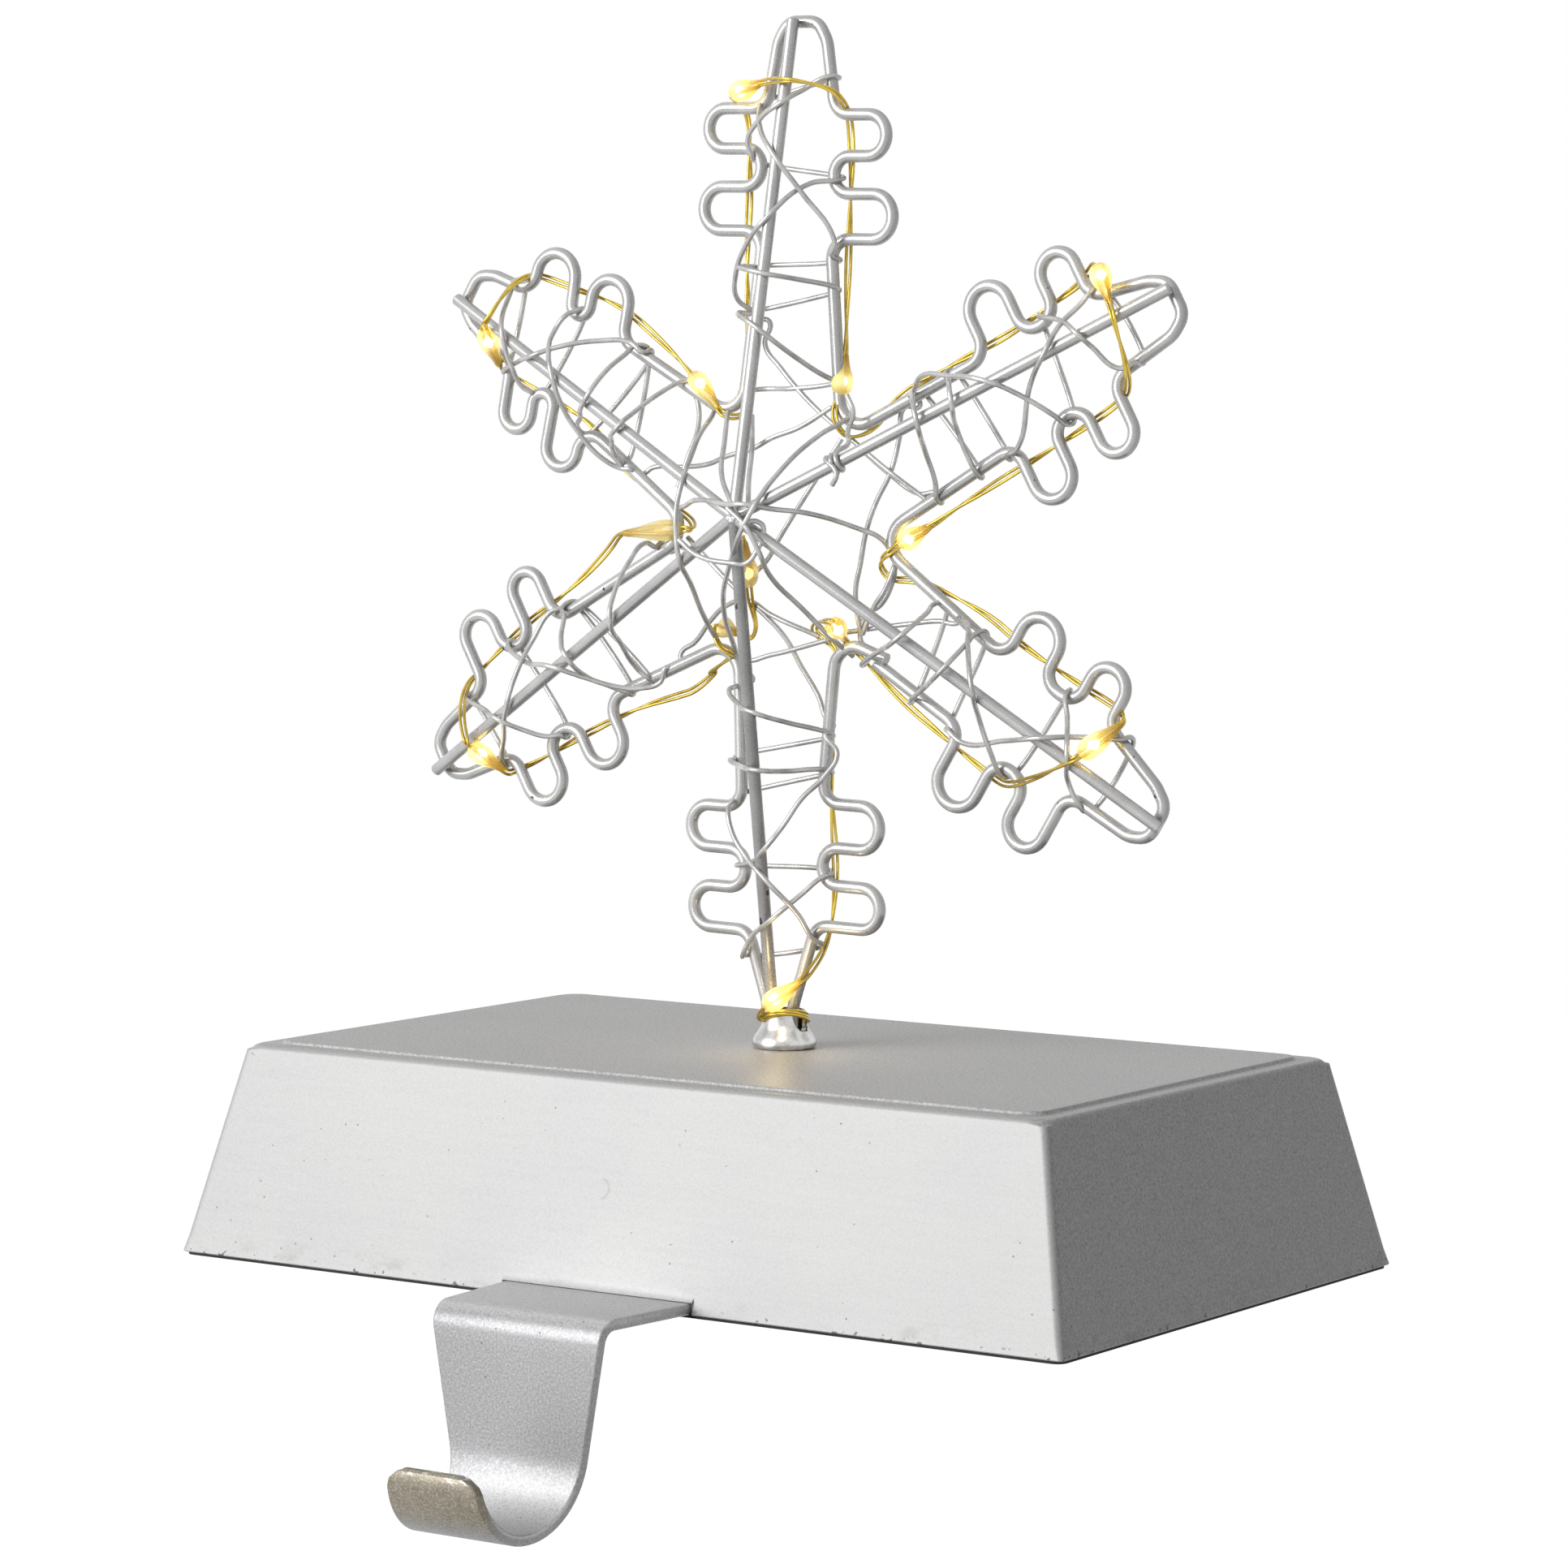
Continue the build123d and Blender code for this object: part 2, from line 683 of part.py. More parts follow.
# Battery contacts: spring leaves folded from thin strip, standing against the ends of the bay
def leaf_points(wall, end, middle, turn):
    """Corners of a strip along the end wall that folds back to press on one cell."""
    away = -1 if wall > 0 else 1
    flat = wall + away * contact_thickness / 2
    press = end - away * (contact_thickness / 2 + touch)
    return [
        (flat, middle - turn * contact_half_width),
        (flat, middle + turn * contact_half_width),
        (press, middle),
        (flat + away * contact_gap, middle - turn * contact_fold),
    ]


def strip(points, name):
    """A folded strip of the contacts' height around the cells' axis."""
    with BuildPart() as piece:
        with BuildSketch(Plane.XY.offset(cell_axis - contact_height / 2)):
            with BuildLine() as line:
                Polyline(*points)
            trace(line.line, contact_thickness)
        extrude(amount=contact_height)
    save(piece, name)


near = case_center_y - cell_pitch / 2
far = case_center_y + cell_pitch / 2
bay_end = bay_length / 2
strip(leaf_points(bay_end, cell_end, near, 1), "contact_positive")
strip(leaf_points(bay_end, cell_end, far, -1), "contact_negative")
near_leaf = leaf_points(-bay_end, -cell_end, near, -1)
far_leaf = leaf_points(-bay_end, -cell_end, far, 1)
strip([*reversed(near_leaf), *far_leaf], "contact_bridge")

# Slide switch: box over a slot in the plate, with a knob on a carriage, a wiper on it and two terminals
switch_center_x = base_length / 2 - switch_edge
switch_y = case_center_y
knob_x = switch_center_x + switch_travel / 2
with BuildPart() as switch_body:
    with Locations((switch_center_x, switch_y, plate_top)):
        Box(switch_length, switch_depth, switch_height, align=standing)
        inner_length = switch_length - 2 * switch_wall
        inner_depth = switch_depth - 2 * switch_wall
        Box(inner_length, inner_depth, switch_height - switch_wall, align=standing, mode=Mode.SUBTRACT)
    switch_roof = plate_top + switch_height - switch_wall
    for side in (-1, 1):
        with Locations((switch_center_x + side * terminal_pitch / 2, switch_y, switch_roof)):
            Box(terminal_side, terminal_side, switch_wall, align=standing, mode=Mode.SUBTRACT)
save(switch_body, "switch_body")
wiper_base = plate_top + touch + carriage_height
terminal_base = wiper_base + wiper_thickness + touch
with BuildPart() as slider:
    with Locations((knob_x, switch_y, knob_recess)):
        Box(knob_length, knob_width, plate_top + touch - knob_recess, align=standing)
    with Locations((knob_x, switch_y, plate_top + touch)):
        Box(carriage_length, inner_depth - 2 * switch_room, carriage_height, align=standing)
save(slider, "switch_slider")
with BuildPart() as wiper:
    with Locations((knob_x, switch_y, wiper_base)):
        Box(carriage_length, terminal_side, wiper_thickness, align=standing)
save(wiper, "switch_wiper")
with BuildPart() as terminals:
    for side in (-1, 1):
        with Locations((switch_center_x + side * terminal_pitch / 2, switch_y, terminal_base)):
            terminal_top = plate_top + switch_height + terminal_rise
            Box(terminal_side, terminal_side, terminal_top - terminal_base, align=standing)
save(terminals, "switch_terminals")

# Floor plate: closes the shell, with room for the strap, the door and the switch's knob
with BuildPart() as plate:
    with BuildSketch(Plane.XY.offset(pad_thickness)):
        inset = wall_across + plate_room
        RectangleRounded(base_length - 2 * inset, base_depth - 2 * inset, corner_radius)
        notch_back = -hook_tail + hook_side_room
        with Locations((0, (notch_back - base_depth / 2) / 2)):
            Rectangle(strap_room, notch_back + base_depth / 2, mode=Mode.SUBTRACT)
        with Locations((0, opening_center)):
            Rectangle(bay_length, opening_depth, mode=Mode.SUBTRACT)
        with Locations((switch_center_x, switch_y)):
            slot_length = knob_length + switch_travel + 2 * switch_room
            Rectangle(slot_length, knob_width + 2 * switch_room, mode=Mode.SUBTRACT)
    extrude(amount=sheet)
    add(sunk(plate_screw_places, pad_thickness, screw_diameter / 2, sheet), mode=Mode.SUBTRACT)
save(plate, "bottom_plate")

# Pad: thin rubber sheet under everything, cut away for the door and the knob
with BuildPart() as pad:
    with BuildSketch():
        RectangleRounded(base_length - 2 * pad_inset, base_depth - 2 * pad_inset, corner_radius)
        with Locations((0, opening_center)):
            swing_depth = opening_depth + 2 * door_swing_room
            Rectangle(bay_length + 2 * door_swing_room, swing_depth, mode=Mode.SUBTRACT)
        with Locations((switch_center_x, switch_y)):
            Rectangle(slot_length + 2 * knob_width, 3 * knob_width, mode=Mode.SUBTRACT)
    extrude(amount=pad_thickness)
save(pad, "base_pad")

# Ballast: iron block bonded under the panel, with a groove over the strap and holes for the screws
ballast_depth = ballast_front - ballast_back
with BuildPart() as ballast:
    with BuildSketch(Plane.XY.offset(plate_top)):
        with Locations((0, -ballast_back - ballast_depth / 2)):
            block = Rectangle(ballast_length, ballast_depth)
        chamfer(block.vertices(), ballast_corner)
    extrude(amount=panel_under - plate_top)
    with Locations((0, notch_back - ballast_front / 2, plate_top)):
        Box(strap_room, ballast_front, strap_top - plate_top, align=standing, mode=Mode.SUBTRACT)
    screw_places = [*hook_screw_places, *plate_screw_places]
    add(shanks(screw_places, plate_top, screw_diameter / 2 + screw_room, screw_length), mode=Mode.SUBTRACT)
save(ballast, "ballast_weight")


# Screws: flush countersunk heads with a cut for the driver
def screws(places, head_height, name):
    """A set of alike screws that point up from the underside."""
    with BuildPart() as group:
        add(sunk(places, pad_thickness, screw_diameter / 2 - touch, head_height))
        add(shanks(places, pad_thickness, screw_diameter / 2 - touch, screw_length))
        with Locations(*places):
            with Locations((0, 0, pad_thickness)):
                slot_length = 4 * screw_diameter
                Box(slot_length, screw_slot_width, screw_slot_depth, align=standing, mode=Mode.SUBTRACT)
    save(group, name)


screws(hook_screw_places, strap, "hook_screws")
screws(plate_screw_places, sheet, "plate_screws")


# Light string: corner points of the pair's middle line, and the runs that carry a lamp
route = []
lamp_runs = []


def lamp_between(start, end):
    """Add a straight run that carries a lamp at its middle."""
    lamp_runs.append(len(route))
    route.extend([start, end])


def corner_pass(index):
    """Turn in the crotch between an arm and the one before it, from its left side to the other's right."""
    here = arms[index].angle
    gap = (here - arms[index - 1].angle) % 360
    middle = Arm(here - gap / 2, 0, 0, 0)
    route.append(at(middle, crotch_run, crotch_side, run_behind))
    route.append(at(middle, crotch_run, -crotch_side / 2, run_behind))


def left_side(index):
    """Down an arm's left side towards the centre."""
    arm = arms[index]
    shoulder = shoulder_station(arm, -1)
    route.append(at(arm, shoulder - left_pass, -side_run, run_behind))
    route.append(at(arm, run_easy, -side_run, run_behind))


def right_side(index):
    """Out along an arm's right side, over the spoke near the tip, and a lamp beside the left shoulder."""
    arm = arms[index]
    lamp_between(at(arm, run_low, lamp_run, run_behind), at(arm, run_high, lamp_run, run_behind))
    route.append(at(arm, run_easy, side_run, run_behind))
    route.append(at(arm, shoulder_station(arm, 1) + left_pass, side_run, run_behind))
    turn = top_turn(index, 1, right_top_rise) + pass_rise
    route.append(at(arm, turn, pass_side, -lead_pitch))
    route.append(over_spoke(index, arm.tip - tip_pass, pass_side, lead))
    shoulder = shoulder_station(arm, -1)
    lamp_between(
        at(arm, shoulder + tip_lamp_high, -pass_side, -tip_lamp_front),
        at(arm, shoulder + left_pass, -lamp_run, run_behind),
    )


# Up through the foot hole, half round the foot, and along its front to the first lamp
foot_arm = arms[foot_index]
route.append(Vector(0, 2 * lead_hole_back, lead_rise))
route.append(Vector(0, lead_hole_back, lead_rise + lead_hole_back))
route.append(Vector(0, lead_hole_back, ferrule_top + lead_pitch))
for across, back, up in foot_wind:
    route.append(Vector(across, back, ferrule_top + up))
lamp_between(Vector(*foot_lamp_start), Vector(*foot_lamp_end))
route.append(at(foot_arm, shoulder_station(foot_arm, -1) + 2 * left_pass, -side_run, run_behind))
left_side(foot_index)
lit_order = (2, 1, 0, 5, 4)
for index in lit_order:
    route.append(at(arms[(index + 1) % len(arms)], run_low, -side_run, run_behind))
    corner_pass((index + 1) % len(arms))
    right_side(index)
    left_side(index)
last_arm = arms[lit_order[-1]]
lamp_between(
    at(last_arm, run_high + left_pass, -lamp_run, run_behind),
    at(last_arm, run_low + left_pass, -lamp_run, run_behind),
)
end_arm = Arm((last_arm.angle + foot_arm.angle) / 2, 0, 0, 0)
route.append(at(end_arm, crotch_run, 0, run_behind))
route.append(at(end_arm, crotch_run - 2 * lamp_diameter, 0, run_behind))
lamp_between(at(end_arm, *end_lamp_start), at(end_arm, *end_lamp_end))


def beside(points, shift):
    """The route moved sideways in the flake's plane, with mitred corners."""
    sides = []
    for start, end in zip(points, points[1:]):
        flat = Vector((end - start).X, 0, (end - start).Z)
        sides.append(flat.cross(Vector(0, 1, 0)).normalized() if flat.length > touch else None)
    sides[0] = sides[0] or sides[1]
    moved = [points[0] + sides[0] * shift]
    for number, point in enumerate(points[1:-1]):
        one = sides[number]
        two = sides[number + 1] = sides[number + 1] or one
        moved.append(point + (one + two) * (shift / (1 + one.dot(two))))
    return [*moved, points[-1] + sides[-1] * shift]


roof_rise = bay_top + case_wall + lead_pitch
positive_start = Vector(lead_start_x, near, cell_axis + contact_height / 2 - lead)
negative_start = Vector(lead_start_x, far, cell_axis + contact_height / 2 - lead)
switch_top = plate_top + switch_height + terminal_rise + lead / 2
switch_near = Vector(switch_center_x - terminal_pitch / 2, switch_y, switch_top)
switch_far = Vector(switch_center_x + terminal_pitch / 2, switch_y, switch_top)
one = beside(route, -lead_pitch / 2)
two = beside(route, lead_pitch / 2)
one_start = [positive_start, Vector(positive_start.X, near, lead_rise)]
high_rise = lead_rise + lead_hole_back
two_start = [
    switch_far,
    Vector(switch_far.X, switch_y, high_rise),
    Vector(two[0].X, 4 * lead_hole_back, high_rise),
]
save(square_wire([*one_start, *one], lead), "light_wire_a")
save(square_wire([*two_start, *two], lead), "light_wire_b")
jumper = [
    negative_start,
    Vector(negative_start.X, far, roof_rise),
    Vector(switch_near.X, far, roof_rise),
    Vector(switch_near.X, switch_y, roof_rise),
    switch_near,
]
save(square_wire(jumper, lead), "switch_lead")

# Lamps: a clear drop moulded round the pair on each run
lamp_end = (lamp_length - lamp_body) / 2
lamp_narrowing = (lamp_diameter - lamp_end_diameter) / 2 * cos(radians(180 / flat_sides))
lamp_taper = degrees(atan2(lamp_narrowing, lamp_end))
for number, start_index in enumerate(lamp_runs):
    start, end = route[start_index], route[start_index + 1]
    run = end - start
    side = Vector(run.X, 0, run.Z).cross(Vector(0, 1, 0)).normalized()
    middle = Plane(origin=(start + end) / 2, x_dir=side, z_dir=run)
    with BuildPart() as lamp:
        with BuildSketch(middle):
            RegularPolygon(lamp_diameter / 2, flat_sides)
        extrude(amount=lamp_body / 2, both=True)
        for end_face in (middle.offset(lamp_body / 2), -middle.offset(-lamp_body / 2)):
            with BuildSketch(end_face):
                RegularPolygon(lamp_diameter / 2, flat_sides)
            extrude(amount=lamp_end, taper=lamp_taper)
        with BuildSketch(middle.offset(-lamp_length)):
            slot_thickness = lead * square_side * sqrt(2) + 2 * lamp_room
            Rectangle(lead_pitch + slot_thickness, slot_thickness)
        extrude(amount=2 * lamp_length, mode=Mode.SUBTRACT)
    save(lamp, f"lamp_{number + 1:02d}")
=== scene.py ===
"""Looks of the mantel stocking holder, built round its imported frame."""

import json
import logging
import math
from dataclasses import dataclass
from enum import Enum
from typing import Any, Iterable, Sequence

import bmesh
import bpy
from mathutils import Matrix, Vector

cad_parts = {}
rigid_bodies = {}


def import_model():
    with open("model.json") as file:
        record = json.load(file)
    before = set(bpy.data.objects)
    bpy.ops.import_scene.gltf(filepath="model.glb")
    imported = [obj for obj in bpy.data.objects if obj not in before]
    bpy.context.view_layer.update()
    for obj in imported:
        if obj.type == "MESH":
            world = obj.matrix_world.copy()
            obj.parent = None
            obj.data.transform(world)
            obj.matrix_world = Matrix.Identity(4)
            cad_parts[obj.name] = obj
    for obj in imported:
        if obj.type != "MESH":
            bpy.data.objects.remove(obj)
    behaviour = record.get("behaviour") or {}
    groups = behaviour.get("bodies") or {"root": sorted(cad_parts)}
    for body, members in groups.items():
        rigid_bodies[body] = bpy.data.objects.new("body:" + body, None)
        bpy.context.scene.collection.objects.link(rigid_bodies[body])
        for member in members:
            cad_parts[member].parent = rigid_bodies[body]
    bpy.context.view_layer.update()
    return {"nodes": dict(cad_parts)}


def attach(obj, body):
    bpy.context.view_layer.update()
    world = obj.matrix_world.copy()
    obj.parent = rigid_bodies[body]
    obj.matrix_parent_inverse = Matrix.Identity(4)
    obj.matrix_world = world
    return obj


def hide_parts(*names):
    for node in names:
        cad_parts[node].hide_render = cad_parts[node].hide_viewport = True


MM = 0.001
LOG = logging.getLogger("stocking_holder")
HOLDER = "holder"
SHARP_EDGE = 40.0
BEND_POINTS = 10
CURVE_POINTS = 12
Socket = bpy.types.NodeSocket
Material = bpy.types.Material
Piece = bpy.types.Object
Colour = tuple[float, float, float]
Point = tuple[float, float, float]
Profile = tuple[tuple[float, float], ...]
Trace = tuple[Point, ...]
Corner = tuple[Vector, float]
Stretch = tuple[Vector, Vector, float]
EYE: Point = (0.38568, -0.57535, 0.11796)


class Side(Enum):
    """The two long sides of an arm, looking out from the middle."""

    LEFT = -1
    RIGHT = 1


class Lay(Enum):
    """How a path is laid: straight between its points, smoothly through them, or near them."""

    STRAIGHT = "POLY"
    THROUGH = "BEZIER"
    NEAR = "NURBS"


class Signal:
    """A shader socket that takes part in plain arithmetic."""

    def __init__(self, nodes: "Nodes", socket: Socket) -> None:
        """Wrap one output socket of a node tree."""
        self.nodes = nodes
        self.socket = socket

    def math(self, operation: str, first: Any, second: Any = 0.0, clamp: bool = False) -> "Signal":
        """Add one Math node.

        Args:
            operation: Name of the Math node's operation.
            first: First value or signal.
            second: Second value or signal.
            clamp: Whether the result is held between 0 and 1.

        Returns:
            The node's result.
        """
        settings = {"operation": operation, "use_clamp": clamp}
        node = self.nodes.node("ShaderNodeMath", settings, {0: first, 1: second})
        return Signal(self.nodes, node.outputs[0])

    def __add__(self, other: Any) -> "Signal":
        """Sum."""
        return self.math("ADD", self, other)

    def __radd__(self, other: Any) -> "Signal":
        """Sum with the number in front."""
        return self.math("ADD", other, self)

    def __sub__(self, other: Any) -> "Signal":
        """Difference."""
        return self.math("SUBTRACT", self, other)

    def __rsub__(self, other: Any) -> "Signal":
        """Difference with the number in front."""
        return self.math("SUBTRACT", other, self)

    def __mul__(self, other: Any) -> "Signal":
        """Product."""
        return self.math("MULTIPLY", self, other)

    def __rmul__(self, other: Any) -> "Signal":
        """Product with the number in front."""
        return self.math("MULTIPLY", other, self)

    def above(self, low: Any) -> "Signal":
        """The signal, held at a lowest value or signal."""
        return self.math("MAXIMUM", self, low)

    def size(self) -> "Signal":
        """The signal without its sign."""
        return self.math("ABSOLUTE", self)

    def slant(self, other: "Signal") -> "Signal":
        """Long side of a right angle that has the two signals as its short sides."""
        return self.math("SQRT", self * self + other * other)

    def step(self, low: float, high: float) -> "Signal":
        """Smooth step from 0 at low to 1 at high, which may lie below low."""
        span = self.math("MULTIPLY", self - low, 1 / (high - low), True)
        return span * span * (3 - 2 * span)


class Nodes:
    """A node tree that is built up node by node."""

    def __init__(self, tree: bpy.types.NodeTree) -> None:
        """Start with an empty tree."""
        self.tree = tree
        self.tree.nodes.clear()

    def node(
        self, kind: str, settings: dict[str, Any] | None = None, sockets: dict[str | int, Any] | None = None
    ) -> bpy.types.Node:
        """Add a node of any type.

        Args:
            kind: The node's type.
            settings: Properties, which are set first.
            sockets: Values, sockets or signals for its inputs.

        Returns:
            The node.
        """
        node = self.tree.nodes.new(kind)
        for key, value in (settings or {}).items():
            setattr(node, key, value)
        for key, value in (sockets or {}).items():
            self.feed(node.inputs[key], value)
        return node

    def feed(self, target: Socket, value: Any) -> None:
        """Set or link one input socket.

        Args:
            target: The input.
            value: A number, a colour, a socket or a signal.
        """
        if isinstance(value, Signal):
            value = value.socket
        if isinstance(value, Socket):
            self.tree.links.new(value, target)
        elif target.type == "RGBA" and len(value) == 3:
            target.default_value = (*value, 1.0)
        else:
            target.default_value = value


class Recipe(Nodes):
    """Node tree of one material."""

    def __init__(self, name: str) -> None:
        """Start a material with an empty shader."""
        self.material = bpy.data.materials.new(name)
        self.material.use_nodes = True
        super().__init__(self.material.node_tree)
        self.shader = self.node("ShaderNodeBsdfPrincipled")
        self.node("ShaderNodeOutputMaterial", {}, {"Surface": self.shader.outputs[0]})

    def place(self) -> Socket:
        """Object coordinates in millimetres."""
        coordinates = self.node("ShaderNodeTexCoord").outputs["Object"]
        sockets = {0: coordinates, "Scale": 1 / MM}
        return self.node("ShaderNodeVectorMath", {"operation": "SCALE"}, sockets).outputs[0]

    def parts(self, vector: Socket) -> tuple[Signal, Signal, Signal]:
        """Split a vector into its three numbers."""
        split = self.node("ShaderNodeSeparateXYZ", {}, {0: vector})
        return tuple(Signal(self, output) for output in split.outputs)

    def noise(self, vector: Socket, size: float, detail: float = 2.0, rough: float = 0.5) -> Signal:
        """Cloudy noise about 0.5: size of its clouds in millimetres, finer layers and their strength."""
        sockets = {"Vector": vector, "Scale": 1 / size, "Detail": detail, "Roughness": rough}
        return Signal(self, self.node("ShaderNodeTexNoise", {}, sockets).outputs[0])

    def stretched(self, vector: Socket, scale: Point) -> Socket:
        """The coordinates scaled apart along the axes."""
        return self.node("ShaderNodeVectorMath", {"operation": "MULTIPLY"}, {0: vector, 1: scale}).outputs[0]

    def cells(self, vector: Socket, size: float) -> Signal:
        """Distance to the nearest of scattered points, as a share of their spacing in millimetres."""
        sockets = {"Vector": vector, "Scale": 1 / size}
        return Signal(self, self.node("ShaderNodeTexVoronoi", {"feature": "F1"}, sockets).outputs["Distance"])

    def mix(self, share: Any, first: Any, second: Any) -> Socket:
        """Mix two colours or sockets by the share of the second."""
        return self.node("ShaderNodeMix", {"data_type": "RGBA"}, {0: share, 6: first, 7: second}).outputs[2]

    def bump(self, height: Signal, strength: float, depth: float) -> Socket:
        """Normal from a height of 0 to 1, where 1 stands for the depth in millimetres."""
        sockets = {"Height": height, "Strength": strength, "Distance": depth * MM}
        return self.node("ShaderNodeBump", {}, sockets).outputs[0]

    def dress(self, sockets: dict[str, Any]) -> Material:
        """Feed the shader and hand over the material."""
        for key, value in sockets.items():
            self.feed(self.shader.inputs[key], value)
        return self.material


class Coat(Recipe):
    """Material of a paint whose colour is laid on in layers."""

    def __init__(self, name: str, colour: Colour) -> None:
        """Start with one colour all over."""
        super().__init__(name)
        self.colour: Any = colour
        self.spot = self.place()

    def lay(self, share: Signal, colour: Any) -> None:
        """Lay a colour over the layers before it, as far as its share goes."""
        self.colour = self.mix(share, self.colour, colour)


@dataclass(frozen=True)
class PaintMarks:
    """Colours of the marks in silver paint.

    Attributes:
        flake: Bright flakes of the grain.
        pit: Dark pits of the grain.
        speck: Dark specks.
        chip: Bare metal in a chip.
        soil: Smudges along the bottom edge.
        edge_chip: Chips along the bottom edge.
        scuff: The scuff on the front.
        rub_and_painted_light: Paint that is rubbed lighter.
        brown: The two tones on the front of the lip.
        bare: The lip's bright top edge.
    """

    flake: Colour = (0.95, 0.95, 0.95)
    pit: Colour = (0.06, 0.06, 0.06)
    speck: Colour = (0.07, 0.068, 0.07)
    chip: Colour = (0.055, 0.047, 0.043)
    soil: Colour = (0.2, 0.185, 0.17)
    edge_chip: Colour = (0.05, 0.045, 0.04)
    scuff: Colour = (0.33, 0.31, 0.285)
    # rub_and_painted_light: Painted light, the lighter paint on the strap's top and inside the curl.
    rub_and_painted_light: Colour = (0.75, 0.75, 0.757)
    brown: tuple[Colour, Colour] = ((0.33, 0.285, 0.205), (0.25, 0.215, 0.155))
    bare: Colour = (0.8, 0.79, 0.77)


@dataclass(frozen=True)
class SilverPaint:
    """Satin silver paint with a fine grain, dark specks and chips.

    Attributes:
        name: Material name.
        light: Colour of the light clouds.
        dark: Colour of the dark clouds.
        cloud: Size of the clouds in millimetres.
        grain: Strength of the fine grain.
        grain_size: Size of the grain in millimetres.
        end_grain: How much stronger the grain is inside the front and back walls.
        wall_reach: How far the front wall stands out at height 0, in millimetres, less a small margin.
        wall_lean: How far the front wall leans in for each millimetre of height.
        streak: Strength of the level streaks that the press left.
        speck: Spacing of the dark specks in millimetres.
        speck_share: Size of a speck as a share of the spacing.
        chip: Lowest noise that leaves a chip, 1 for none.
        metallic: Share of metal flake.
        rough: Roughness.
        warm: Strength of a brownish tone on the front of the lip.
        peel: Depth of the paint's grain in millimetres.
        scuff: Place across, height and radius of a scuff on the front, in millimetres, or none.
        curl: Depth, height and radius of the curl whose inside gets painted light, in millimetres, or none.
        marks: Colours of its marks.
    """

    name: str
    light: Colour = (0.57, 0.567, 0.563)
    dark: Colour = (0.545, 0.545, 0.545)
    cloud: float = 26.0
    grain: float = 0.55
    grain_size: float = 0.36
    end_grain: float = 0.0
    wall_reach: float = 43.2
    wall_lean: float = 0.2222
    streak: float = 0.0
    speck: float = 2.0
    speck_share: float = 0.085
    chip: float = 1.0
    metallic: float = 0.14
    rough: float = 0.46
    warm: float = 0.0
    peel: float = 0.03
    scuff: Point | None = None
    curl: Point | None = None
    marks: PaintMarks = PaintMarks()

    def make(self) -> Material:
        """Build the material.

        Returns:
            The painted finish.
        """
        coat = Coat(self.name, self.dark)
        coat.lay(coat.noise(coat.spot, self.cloud, 3.0, 0.55).step(0.32, 0.7), self.light)
        fine = coat.noise(coat.spot, self.grain_size, 2.0, 0.65)
        # Painted light: the hook's strap top and the inside of its curl are laid lighter.
        if self.curl:
            self.paint_light_on_strap_and_curl(coat)
        if self.warm:
            self.brown_lip(coat)
        tone = self.grain_tone(coat, fine)
        coat.lay(tone.above(0.0), self.marks.flake)
        coat.lay((0.0 - tone).above(0.0), self.marks.pit)
        dots = coat.cells(coat.spot, self.speck)
        gate = coat.noise(coat.spot, self.speck * 2.3, 0.0)
        specks = dots.step(self.speck_share, self.speck_share * 0.5) * gate.step(0.44, 0.52)
        coat.lay(specks * 0.8, self.marks.speck)
        if self.chip < 1.0:
            chips = coat.noise(coat.spot, 2.6, 2.0, 0.6).step(self.chip, self.chip + 0.02)
            coat.lay(chips, self.marks.chip)
        if self.scuff:
            self.scuff_front(coat)
            self.soil_edge(coat)
        return coat.dress(
            {
                "Base Color": coat.colour,
                "Roughness": self.rough + (fine - 0.5) * 0.12,
                "Metallic": self.metallic,
                "Normal": coat.bump(fine, 0.2, self.peel),
                "IOR": 1.45,
            }
        )

    def grain_tone(self, coat: Coat, fine: Signal) -> Signal:
        """How much lighter or darker the grain and the streaks make the paint.

        Args:
            coat: The paint in work.
            fine: Noise of the grain.

        Returns:
            The tone, about 0.
        """
        tone = (fine - 0.5) * self.grain
        if self.end_grain:
            _, depth, rise = coat.parts(coat.spot)
            reach = depth.size() + rise * self.wall_lean
            tone = tone + tone * reach.step(self.wall_reach, self.wall_reach - 0.4) * self.end_grain
        if self.streak:
            drawn = coat.noise(coat.stretched(coat.spot, (0.05, 1.0, 1.0)), 0.8, 2.0)
            tone = tone + (drawn - 0.5) * self.streak
        return tone

    def soil_edge(self, coat: Coat) -> None:
        """Lay smudges and small chips along the bottom edge."""
        _, _, rise = coat.parts(coat.spot)
        smudge = coat.noise(coat.stretched(coat.spot, (0.5, 0.5, 1.0)), 3.0, 4.0, 0.65).step(0.5, 0.72)
        coat.lay(smudge * rise.step(5.0, 0.9) * 0.3, self.marks.soil)
        chips = coat.noise(coat.spot, 0.9, 1.0).step(0.66, 0.7) * rise.step(1.5, 0.9)
        coat.lay(chips * 0.8, self.marks.edge_chip)

    def scuff_front(self, coat: Coat) -> None:
        """Lay a crescent scuff on the front wall."""
        across, depth, rise = coat.parts(coat.spot)
        middle, height, radius = self.scuff
        away = across - middle
        rub = coat.noise(coat.spot, 0.7, 2.0)
        reach = away.slant(rise - height) + (rub - 0.5) * radius
        band = reach.step(radius * 1.15, radius) * reach.step(radius * 0.62, radius * 0.8)
        right_half = away.step(-0.2, 0.5) * depth.step(-30.0, -36.0)
        coat.lay(band * right_half * 0.4, self.marks.scuff)

    def paint_light_on_strap_and_curl(self, coat: Coat) -> None:
        """Lay painted light: lighter paint on the strap's top and on the inside of the curl."""
        _, depth, rise = coat.parts(coat.spot)
        middle, height, radius = self.curl
        reach = (depth - middle).slant(rise - height)
        inside = reach.step(radius + 0.7, radius + 0.2) * rise.step(-18.5, -22.0)
        # Painted light: lighter paint inside the curl and on the strap's top.
        coat.lay((inside + rise.step(0.6, 1.7)) * 0.75, self.marks.rub_and_painted_light)

